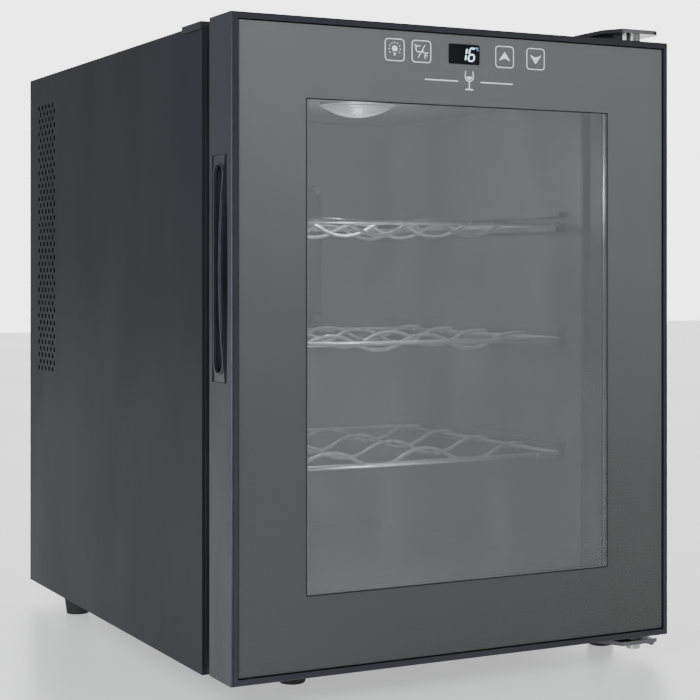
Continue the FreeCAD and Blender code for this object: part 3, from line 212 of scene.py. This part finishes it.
def glowing(color, strength, grain):
    """A lit surface that is a little brighter in some places than in others."""
    def build(where):
        patchy = noise(where, grain, 3.0)
        return where.node("BsdfPrincipled", (), {
            "Base Color": mixed(patchy, tuple(c * 0.85 for c in color), color),
            "Roughness": patchy * 0.15 + 0.25,
            "Emission Color": mixed(patchy, tuple(c * 0.8 for c in color), color),
            "Emission Strength": strength,
            "Normal": bumped(patchy, 0.00002)})
    return build


def boarded(where):
    """A circuit board: copper tracks under green lacquer."""
    cells = where.node("TexVoronoi", {"feature": "DISTANCE_TO_EDGE"}, {"Vector": where, "Scale": 160.0})
    track = step(cells, 0.02, 0.06)
    return where.node("BsdfPrincipled", (), {
        "Base Color": mixed(track, (0.05, 0.16, 0.07), (0.012, 0.07, 0.03)), "Roughness": track * 0.2 + 0.25,
        "Normal": bumped(track, 0.00004)})


def foamed(where):
    """Cut foam: small open cells."""
    cells = where.node("TexVoronoi", (), {"Vector": where, "Scale": 700.0})
    tone = step(cells * 0.6 + noise(where, 14.0, 4.0) * 0.4, 0.1, 0.7)
    return where.node("BsdfPrincipled", (), {
        "Base Color": mixed(tone, (0.012, 0.012, 0.013), (0.05, 0.05, 0.052)), "Roughness": tone * 0.1 + 0.85,
        "Normal": bumped(cells, 0.0003)})


# The print's own dark grey, and the paler colour of the painted reflection towards the top and right.
PRINT_DARK = (0.060, 0.060, 0.060)
PRINT_PALE_PAINTED_REFLECTION = (0.150, 0.150, 0.150)
SHEER = (1.0, 1.0, 0.05)    # brushing along Z
FINISHES = {
    "side_paint": coated((0.015, 0.017, 0.0205), (0.021, 0.0235, 0.028), (0.36, 0.44), 1300.0, 0.00004, 4.0,
                         sheen=0.09),
    "black_paint": coated((0.012, 0.012, 0.013), (0.016, 0.016, 0.0178), (0.42, 0.48), 1500.0, 0.00003, 5.0),
    "trim_plastic": coated((0.010, 0.0105, 0.012), (0.017, 0.018, 0.020), (0.4, 0.55), 2600.0, 0.00005, 9.0),
    "black_plastic": coated((0.009, 0.009, 0.010), (0.017, 0.017, 0.018), (0.38, 0.55),
                            2200.0, 0.00005, 11.0),
    "liner_plastic": coated((0.12, 0.12, 0.123), (0.15, 0.15, 0.153), (0.35, 0.5), 1800.0, 0.00003, 6.0),
    "foam": foamed,
    "foot_rubber": coated((0.010, 0.010, 0.010), (0.022, 0.022, 0.021), (0.6, 0.8), 1900.0, 0.00008, 16.0),
    "gasket_rubber": coated((0.016, 0.016, 0.017), (0.028, 0.028, 0.029), (0.5, 0.68), 1500.0, 0.00005, 12.0),
    "steel": coated((0.42, 0.42, 0.41), (0.56, 0.56, 0.55), (0.25, 0.42), 900.0, 0.00004, 40.0, metallic=1.0),
    "hinge_chrome": coated((0.05, 0.051, 0.056), (0.15, 0.153, 0.16), (0.08, 0.15), 700.0, 0.00001, 18.0,
                           (0.1, 1.0, 1.0), metallic=1.0),
    "bush_plastic": coated((0.010, 0.010, 0.011), (0.018, 0.018, 0.019), (0.35, 0.5), 1500.0, 0.00003, 20.0),
    "door_frame_metal": coated((0.020, 0.022, 0.029), (0.029, 0.032, 0.040), (0.3, 0.42), 1700.0, 0.00002,
                               8.0, SHEER, metallic=0.25, sheen=0.4),
    "tinted_glass": glazed(0.05, (0.02, 0.02, 0.021), 0.04),
    "clear_glass": glazed(0.04, (0.10, 0.105, 0.105), 0.03),
    "spacer_metal": coated((0.40, 0.41, 0.42), (0.5, 0.51, 0.52), (0.3, 0.42),
                           1400.0, 0.00003, 18.0, metallic=1.0),
    "handle_plastic": coated((0.020, 0.022, 0.026), (0.032, 0.034, 0.040), (0.24, 0.36),
                             1900.0, 0.00003, 14.0),
    "display_black": coated((0.004, 0.004, 0.005), (0.008, 0.008, 0.009), (0.3, 0.4), 1200.0, 0.00001, 20.0,
                            sheen=0.1),
    "pad_foam": foamed,
    "circuit_board": boarded,
    "lamp_diffuser": glowing((0.50, 0.51, 0.53), 0.06, 60.0),
    "white_plastic": coated((0.50, 0.50, 0.49), (0.60, 0.60, 0.59), (0.35, 0.5), 1700.0, 0.00004, 12.0),
    "sink_aluminium": coated((0.50, 0.51, 0.52), (0.62, 0.63, 0.64), (0.28, 0.42), 1600.0, 0.00003, 14.0,
                             (1.0, 0.06, 1.0), metallic=1.0),
    "module_ceramic": coated((0.68, 0.68, 0.66), (0.78, 0.78, 0.76), (0.5, 0.6), 1500.0, 0.00003, 30.0),
    "shelf_chrome": coated((0.86, 0.87, 0.88), (0.96, 0.96, 0.97), (0.18, 0.30),
                           500.0, 0.00002, 26.0, metallic=0.3),
    # Grey print under the glass with a painted reflection, paler towards the top and right.
    "printed_enamel_painted_reflection": printed_with_painted_reflection,
    "window_tint": glazed(0.30, (0.27, 0.272, 0.275), 0.2),
    "window_strip": glazed(0.36, (0.31, 0.313, 0.316), 0.3),
    "symbol_white": glowing((0.80, 0.81, 0.83), 0.75, 300.0),
    "digit_cyan": glowing((0.62, 0.90, 1.0), 2.6, 300.0),
    "unit_blue": glowing((0.10, 0.42, 0.80), 1.2, 300.0),
}
finishes = {name: finish(name, build) for name, build in FINISHES.items()}
slots = {row["node"]: row["material_slot"] for row in frame["record"]["subparts"]}
body_of = {node: body for body, members in frame["record"]["behaviour"]["bodies"].items() for node in members}
for node, shape in frame["nodes"].items():
    shape.data.materials.clear()
    shape.data.materials.append(finishes[slots[node]])


# ---- mesh pieces ----
def quads(rows, columns, wrap_rows, wrap_columns):
    """Corner numbers of the squares between the points of a sheet of rows by columns points."""
    row = np.arange(rows if wrap_rows else rows - 1)[:, None]
    column = np.arange(columns if wrap_columns else columns - 1)[None, :]
    next_row, next_column = (row + 1) % rows, (column + 1) % columns
    corners = (row * columns + column, row * columns + next_column,
               next_row * columns + next_column, next_row * columns + column)
    return np.stack(np.broadcast_arrays(*corners), -1).reshape(-1, 4).tolist()


def joined(parts):
    """Several (points, faces) shapes as one."""
    points, faces, start = [], [], 0
    for some, corners in parts:
        points.append(some)
        faces += [[corner + start for corner in face] for face in corners]
        start += len(some)
    return np.concatenate(points), faces


def tidied(mesh):
    """Closes seams and poles, turns every face outward and keeps the sharp edges sharp."""
    work = bmesh.new()
    work.from_mesh(mesh)
    bmesh.ops.remove_doubles(work, verts=work.verts, dist=1e-6)
    bmesh.ops.recalc_face_normals(work, faces=work.faces)
    work.to_mesh(mesh)
    work.free()
    mesh.shade_smooth()
    mesh.set_sharp_from_angle(angle=math.radians(SHARP_ANGLE))


def add_piece(name, shape, slot, body, replaced=()):
    """An object in the shared frame that rides on a CAD body and may stand for CAD nodes."""
    mesh = bpy.data.meshes.new(name)
    mesh.from_pydata(shape[0].tolist(), [], shape[1])
    tidied(mesh)
    mesh.materials.append(finishes[slot])
    made = bpy.data.objects.new(name, mesh)
    bpy.context.scene.collection.objects.link(made)
    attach(made, body)
    if replaced:
        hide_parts(*replaced)
    return made


def rounded_copy(node, width):
    """A copy of a CAD node with small rounds along its sharp edges."""
    mesh = bpy.data.meshes.new(node + "_rounded")
    work = bmesh.new()
    work.from_mesh(frame["nodes"][node].data)
    bmesh.ops.remove_doubles(work, verts=work.verts, dist=1e-5)
    bmesh.ops.dissolve_limit(work, angle_limit=math.radians(1.0), verts=work.verts, edges=work.edges)
    work.to_mesh(mesh)
    work.free()
    tidied(mesh)
    mesh.materials.append(finishes[slots[node]])
    made = bpy.data.objects.new(node + "_rounded", mesh)
    bpy.context.scene.collection.objects.link(made)
    edges = made.modifiers.new("edges", "BEVEL")
    edges.width = width
    edges.segments = BEVEL_STEPS
    edges.limit_method = "ANGLE"
    edges.angle_limit = math.radians(40)
    edges.harden_normals = True
    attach(made, body_of[node])
    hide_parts(node)


def tube(path, radius, across, closed, sides=14):
    """A round rod: each point is the path's point, plus radius times the cosine and sine of the turn, along
    the path's side direction and along across, which is square to the whole path."""
    ahead = np.roll(path, -1, 0) - np.roll(path, 1, 0)
    if not closed:
        ahead[0], ahead[-1] = path[1] - path[0], path[-1] - path[-2]
    side = np.cross(ahead, across)
    side /= np.linalg.norm(side, axis=1)[:, None]
    turn = np.linspace(0, 2 * np.pi, sides, endpoint=False)[None, :, None]
    points = path[:, None] + radius * (np.cos(turn) * side[:, None] + np.sin(turn) * np.asarray(across))
    faces = quads(len(path), sides, closed, True)
    if not closed:
        last = (len(path) - 1) * sides
        faces += [list(range(sides)), list(range(last, last + sides))]
    return points.reshape(-1, 3), faces


def turned(profile, middle, sides=96, ribs=0, rib_depth=0.0, twist=0.0):
    """A turned shape: radius and height from the profile. The radius waves by rib_depth times the cosine of
    ribs times the angle, less twist times the height."""
    profile = np.asarray(profile, float)
    turn = np.linspace(0, 2 * np.pi, sides, endpoint=False)[None, :]
    height = np.repeat(profile[:, 1:2], sides, 1)
    wave = 1 + rib_depth * np.cos(ribs * turn - twist * height)
    radius = profile[:, 0:1] * wave
    points = np.stack([radius * np.cos(turn), radius * np.sin(turn), height], -1) + np.asarray(middle)
    return points.reshape(-1, 3), quads(len(profile), sides, False, True)


def slab(outline, y0, y1, opening=None):
    """An outline of (x, z) points pushed from y0 to y1, with an opening of as many points if there is one."""
    def at(points, y):
        return np.stack([points[:, 0], np.full(len(points), y), points[:, 1]], -1)
    count = len(outline)
    if opening is not None:
        rings = [at(outline, y0), at(outline, y1), at(opening, y1), at(opening, y0)]
        return np.concatenate(rings), quads(4, count, True, True)
    faces = quads(2, count, False, True) + [list(range(count)), list(range(count, 2 * count))]
    return np.concatenate([at(outline, y0), at(outline, y1)]), faces


def arc(x, z, radius, start, end, count=16):
    """Points of a circular arc: cosine and sine of the angle, in degrees, times the radius."""
    angle = np.radians(np.linspace(start, end, count))
    return np.stack([x + radius * np.cos(angle), z + radius * np.sin(angle)], -1)


def rounded_box(x, z, width, height, corner, count=9):
    """A rectangle with round corners about (x, z)."""
    dx, dz = width / 2 - corner, height / 2 - corner
    corners = ((dx, dz, 0), (-dx, dz, 90), (-dx, -dz, 180), (dx, -dz, 270))
    return np.concatenate([arc(x + a, z + b, corner, turn, turn + 90, count) for a, b, turn in corners])


def stroke(points, width):
    """The outline of a line of constant width: the line moved half a width to each side, bends mitred."""
    points = np.asarray(points, float)
    ahead = np.diff(points, axis=0)
    ahead /= np.linalg.norm(ahead, axis=1)[:, None]
    along = np.concatenate([ahead[:1], ahead[:-1] + ahead[1:], ahead[-1:]])
    along /= np.linalg.norm(along, axis=1)[:, None]
    share = np.concatenate([[1.0], np.sum(along[1:-1] * ahead[1:], 1), [1.0]])
    side = np.stack([-along[:, 1], along[:, 0]], -1) * (width / 2 / share)[:, None]
    return np.concatenate([points + side, (points - side)[::-1]])


def frame_edge(margin, low, high):
    """The door's outline moved in by margin, as four corners."""
    x0, x1, z0, z1 = low.x + margin, high.x - margin, low.z + margin, high.z - margin
    return np.array([(x0, z0), (x1, z0), (x1, z1), (x0, z1)])


# ---- rounded copies of the visible sharp pieces ----
ROUNDS = {
    "door_frame_left": 0.35, "door_frame_right": 0.35, "door_frame_bottom": 0.35, "door_frame_top": 0.35,
    "top_front_trim": 0.6, "handle_cup": 0.3, "handle_plate": 0.35, "top_hinge_bracket": 0.3,
    "bottom_hinge_bracket": 0.3, "inner_fan_cover": 0.3, "mains_inlet": 0.3, "door_gasket": 0.5,
    "display_module": 0.3, "temperature_sensor": 0.4, "rear_fan_frame": 0.25,
}
for node, width in ROUNDS.items():
    rounded_copy(node, width * MM)

# ---- printed glass, with a painted reflection ----
door_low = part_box("door_frame_left")[0]
door_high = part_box("door_frame_right")[1]
glass_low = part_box("front_glass")[0]
print_front = glass_low.y + PRINT_DEPTH
print_back = print_front + PRINT_THICKNESS
edge = glass_low.x - door_low.x + 0.2 * MM
outer = frame_edge(edge, door_low, door_high)
window = frame_edge(PRINT_MARGIN, door_low, door_high)
line = frame_edge(PRINT_MARGIN + PRINT_LINE, door_low, door_high)
strip = frame_edge(PRINT_MARGIN + PRINT_STRIP, door_low, door_high)
add_piece("glass_print_painted_reflection", slab(outer, print_front, print_back, window), "printed_enamel_painted_reflection", "door")
add_piece("window_line", slab(window, print_front, print_back, line), "display_black", "door")
add_piece("window_strip", slab(line, print_front, print_back, strip), "window_strip", "door")
add_piece("window_tint", slab(strip, print_front, print_back), "window_tint", "door")

# ---- key symbols, display and emblem ----
symbol_front = glass_low.y + SYMBOL_DEPTH
digit_front = symbol_front - SYMBOL_THICKNESS
key_line = (door_high.z - KEY_DROP) / MM


def symbol(name, parts, slot="symbol_white", front=symbol_front):
    """Flat shapes behind the glass: outlines, or (outline, opening) pairs."""
    back = front + SYMBOL_THICKNESS
    shapes = []
    for part in parts:
        outline, opening = part if isinstance(part, tuple) else (part, None)
        shapes.append(slab(outline * MM, front, back, None if opening is None else opening * MM))
    return add_piece(name, joined(shapes), slot, "door")


def key_border(x):
    inner = KEY_SIZE - 2 * KEY_STROKE
    inside = rounded_box(x, key_line, inner, inner, KEY_CORNER - KEY_STROKE)
    return rounded_box(x, key_line, KEY_SIZE, KEY_SIZE, KEY_CORNER), inside


def ring_shape(x, z, radius, width):
    return arc(x, z, radius, 0, 348.75, 32), arc(x, z, radius - width, 0, 348.75, 32)


def bulb(x, z):
    parts = [arc(x, z + 0.7, 2.1, -50, 230, 24)]
    parts += [rounded_box(x, z - 2.5 - 0.95 * i, 2.2 - 0.5 * i, 0.6, 0.28, 4) for i in range(2)]
    rays = np.radians(np.linspace(-30, 210, 9))
    parts += [arc(x + 4.3 * math.cos(a), z + 0.5 + 4.3 * math.sin(a), 0.42, 0, 330, 12) for a in rays]
    return parts


def letter_c(x, z, size, width):
    return stroke(arc(x, z, size, 50, 310, 20), width)


def letter_f(x, z, size, width):
    upright = stroke([(x, z - size), (x, z + size)], width)
    bars = [stroke([(x, z + h), (x + reach, z + h)], width)
            for h, reach in ((size - width / 2, size * 1.15), (0.0, size * 0.9))]
    return [upright] + bars


def units(x, z):
    parts = [ring_shape(x - 4.6, z + 3.9, 0.75, 0.35), letter_c(x - 2.2, z + 1.7, 2.1, 0.6)]
    parts += [stroke([(x - 2.6, z - 4.2), (x + 2.8, z + 4.4)], 0.5)]
    return parts + [ring_shape(x + 1.3, z - 0.1, 0.75, 0.35)] + letter_f(x + 2.8, z - 2.6, 2.0, 0.6)


def arrow(x, z, way):
    points = np.array([(-4.6, -2.7), (0.0, 3.5), (4.6, -2.7), (0.0, -0.9)])
    return [points * (1, way) + (x, z)]


def seven_segments(x, z, lit, height=8.6, width=4.3, thick=1.0, slant=0.16):
    """A digit of seven bars: a top, b and c right, d bottom, e and f left, g middle, leaning to the right."""
    h, w, gap = height / 2, width / 2, thick * 0.62
    ends = {"a": ((-w, h), (w, h)), "b": ((w, h), (w, 0)), "c": ((w, 0), (w, -h)), "d": ((-w, -h), (w, -h)),
            "e": ((-w, 0), (-w, -h)), "f": ((-w, h), (-w, 0)), "g": ((-w, 0), (w, 0))}
    bars = []
    for name in lit:
        a, b = np.array(ends[name][0]), np.array(ends[name][1])
        along = (b - a) / np.linalg.norm(b - a)
        side = np.array([-along[1], along[0]]) * thick / 2
        a, b, tip = a + along * gap * 0.5, b - along * gap * 0.5, along * thick / 2
        bar = np.array([a, a + tip + side, b - tip + side, b, b - tip - side, a + tip - side])
        bar[:, 0] += bar[:, 1] * slant
        bars.append(bar + (x, z))
    return bars


def wine_glass(x, z):
    """A plain stemmed glass: a rounded bowl, a stem and a foot."""
    bowl = np.concatenate([[(2.9, 6.2)], arc(0, 2.6, 3.3, -10, -170, 20), [(-2.9, 6.2)]])
    foot = rounded_box(0, -6.3, 6.4, 0.8, 0.38, 4)
    wine = arc(0, 2.5, 2.2, 0, -180, 18)
    stem = stroke([(0, -0.6), (0, -6.1)], 0.7)
    return [part + (x, z) for part in (stroke(bowl, 0.6), stem, foot, wine)]


for name, x, draw in (("light_key", LIGHT_KEY_X, bulb), ("unit_key", UNIT_KEY_X, units)):
    symbol(name + "_symbol", [key_border(x)] + draw(x, key_line))
for name, x, way in (("warmer_key", WARMER_KEY_X, 1), ("colder_key", COLDER_KEY_X, -1)):
    symbol(name + "_symbol", [key_border(x)] + arrow(x, key_line, way))
symbol("display_window", [rounded_box(0, key_line, 24.5, 13.6, 1.0)], "display_black")
digits = seven_segments(-0.6, key_line, "bc") + seven_segments(6.0, key_line, "acdefg")
symbol("display_digits", digits, "digit_cyan", digit_front)
unit = [ring_shape(9.6, key_line + 4.6, 0.6, 0.3), letter_c(11.0, key_line + 3.9, 0.95, 0.35)]
symbol("display_unit", unit, "unit_blue", digit_front)
emblem_z = (door_high.z - EMBLEM_DROP) / MM
sides = [rounded_box(EMBLEM_X + side * EMBLEM_LINE, emblem_z - 1, 26, 0.7, 0.3, 4) for side in (-1, 1)]
symbol("emblem", wine_glass(EMBLEM_X, emblem_z) + sides, front=digit_front)

# ---- shelves ----
def wave(x, level):
    """Height of a cradle rod at x: arcs that meet in tangents, crest to trough and back each pitch."""
    quarter, drop = CRADLE_PITCH / 4, WAVE_HEIGHT / 2
    bend = (quarter ** 2 + drop ** 2) / (2 * drop)
    place = np.abs((x + CRADLES * CRADLE_PITCH / 2) % CRADLE_PITCH - CRADLE_PITCH / 2)
    from_trough = np.minimum(place, quarter)
    from_crest = np.minimum(CRADLE_PITCH / 2 - place, quarter)
    low = bend - np.sqrt(bend ** 2 - from_trough ** 2)
    high = WAVE_HEIGHT - (bend - np.sqrt(bend ** 2 - from_crest ** 2))
    height = np.where(place < quarter, low, high)
    height = np.where(np.abs(x) > CRADLES * CRADLE_PITCH / 2, WAVE_HEIGHT, height)
    return level + WAVE_CREST - WAVE_HEIGHT + height


def wire_shelf(number):
    """A closed outer rod, wavy rods across it and a small weld where each meets the side rods."""
    node = f"wire_shelf_{number}"
    low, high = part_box(node)
    level = high.z - WAVE_CREST - WAVE_ROD / 2
    half = high.x - LOOP_ROD / 2
    front, back = low.y + LOOP_ROD / 2, high.y - LOOP_ROD / 2
    outline = rounded_box(0, (front + back) / 2, 2 * half, back - front, ROD_CORNER, 13)
    loop = np.stack([outline[:, 0], outline[:, 1], np.full(len(outline), level)], -1)
    shapes = [tube(loop, LOOP_ROD / 2, (0, 0, 1), True)]
    x = np.linspace(-half, half, 193)
    for row in range(1, int((back - front) / WAVE_PITCH) + 1):
        y = front + row * WAVE_PITCH
        path = np.stack([x, np.full(len(x), y), wave(x, level)], -1)
        shapes.append(tube(path, WAVE_ROD / 2, (0, 1, 0), False, 12))
        for side in (-1, 1):
            rise = np.linspace(-90, 90, 9)
            bead = np.stack([np.cos(np.radians(rise)) * WELD_REACH, np.sin(np.radians(rise)) * WELD_RISE], -1)
            shapes.append(turned(bead, (side * (half - WELD_IN), y, level + WELD_RISE), 16))
    add_piece(f"shelf_rods_{number}", joined(shapes), "shelf_chrome", body_of[node], (node,))


for number in (1, 2, 3):
    wire_shelf(number)

# ---- lamp lens ----
lens_low, lens_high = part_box("lamp_lens")
lens_middle = (lens_low + lens_high) / 2
rim_z = lens_low.z + LENS_DROP
reach = np.linspace(0, LENS_RADIUS, 140)
ball = (LENS_RADIUS ** 2 + LENS_DROP ** 2) / (2 * LENS_DROP)
dome = rim_z - LENS_DROP + ball - np.sqrt(ball ** 2 - reach ** 2)
ridge = LENS_RIDGE * (1 - np.cos(2 * np.pi * LENS_RINGS * reach / LENS_RADIUS)) / 2
under = np.stack([reach, dome + ridge], -1)
rim_radius, rim_top = LENS_RADIUS + LENS_LIP, rim_z + LENS_EDGE
rim = np.array([(rim_radius, rim_z), (rim_radius, rim_top), (0, rim_top)])
add_piece("lamp_lens_rings", turned(np.concatenate([under, rim]), (lens_middle.x, lens_middle.y, 0)),
          "lamp_diffuser", "cabinet", ("lamp_lens",))

# ---- levelling feet ----
for side in ("left", "right"):
    node = f"front_{side}_foot"
    low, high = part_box(node)
    middle = ((low.x + high.x) / 2, (low.y + high.y) / 2, 0)
    disc = np.array([(0, 0), (8.2, 0), (9, 0.8), (9.5, 3), (9.7, 6.2), (9.1, 7), (4, 7), (0, 7)]) * MM
    tread = turned(disc + (0, low.z), middle, 168, FOOT_RIBS, 0.02)
    heights = np.linspace(FOOT_DISC + low.z, high.z, 190)
    stud = np.stack([np.full(len(heights), STUD_RADIUS * STUD_MEAN), heights], -1)
    stud = np.concatenate([[(0, heights[0])], stud, [(0, heights[-1])]])
    thread = turned(stud, middle, 32, 1, 0.045, 2 * math.pi / THREAD_PITCH)
    add_piece(f"foot_tread_{side}", tread, "foot_rubber", body_of[node], (node,))
    add_piece(f"foot_stud_{side}", thread, "steel", body_of[node])

# ---- studio ----
BRIGHT_WALL = (0.459, 0.889, 0.0)   # way to the bright wall behind the cooler
WALL_LIGHT = 4.0
ROOM_LIGHT = 0.36


def lamp(name, kind, energy, place, aim, size, color=(1.0, 1.0, 1.0)):
    """A soft light at place that points at aim."""
    data = bpy.data.lights.new(name, kind)
    data.energy = energy
    data.color = color
    if kind == "AREA":
        data.shape = "RECTANGLE"
        data.size, data.size_y = size
    else:
        data.shadow_soft_size = size
    made = bpy.data.objects.new(name, data)
    bpy.context.scene.collection.objects.link(made)
    way = Vector(aim) - Vector(place)
    made.location = place
    made.rotation_euler = way.to_track_quat("-Z", "Y").to_euler()
    return made


lamp("left_softbox", "AREA", 6.2, (-0.72, -0.72, 0.40), (-0.17, -0.20, 0.25), (0.25, 0.9), (0.88, 0.94, 1.0))
lamp("front_softbox", "AREA", 4.8, (1.3, -1.9, 1.3), (0, -0.22, 0.25), (1.4, 1.4))
lamp("top_softbox", "AREA", 9.0, (0.0, 0.3, 2.2), (0, 0, 0.4), (1.8, 1.8))
lamp("inside_lamp", "POINT", 0.4, (0, lens_middle.y, lens_low.z - 50 * MM), (0, 0, 0), 12 * MM,
     (0.93, 0.97, 1.0))
for height in (0.12, 0.27):
    lamp("inside_fill", "POINT", 0.13, (-0.03, -0.185, height), (0, 0, 0), 12 * MM, (0.95, 0.98, 1.0))

world = bpy.data.worlds.new("studio")
bpy.context.scene.world = world
world.use_nodes = True
world.node_tree.nodes.clear()
sky = Socket(world.node_tree).node("TexCoord", output="Generated")
ahead = sky.node("VectorMath", {"operation": "DOT_PRODUCT"}, {0: sky, 1: BRIGHT_WALL}, "Value")
level = step(ahead, 0.80, 0.94) * (WALL_LIGHT - ROOM_LIGHT) + ROOM_LIGHT
walls = sky.node("Background", (), {"Color": (1.0, 1.0, 1.0, 1.0), "Strength": level})
sky.node("OutputWorld", (), {"Surface": walls})

floor_mesh = bpy.data.meshes.new("floor")
floor_mesh.from_pydata([(-6, -6, 0), (6, -6, 0), (6, 6, 0), (-6, 6, 0)], [], [(0, 1, 2, 3)])
floor = bpy.data.objects.new("floor", floor_mesh)
bpy.context.scene.collection.objects.link(floor)
floor_mesh.materials.append(finish("floor", glowing((0.9, 0.9, 0.9), 0.62, 3.0)))

camera_data = bpy.data.cameras.new("camera")
camera_data.lens = 87.312
camera_data.sensor_width = 36.0
camera_data.shift_y = -0.11857
camera = bpy.data.objects.new("camera", camera_data)
bpy.context.scene.collection.objects.link(camera)
camera.location = (-0.59966, -1.21178, 0.28513)
camera.rotation_euler = (math.pi / 2, 0.0, math.radians(-27.305))
bpy.context.scene.camera = camera

bpy.context.view_layer.update()
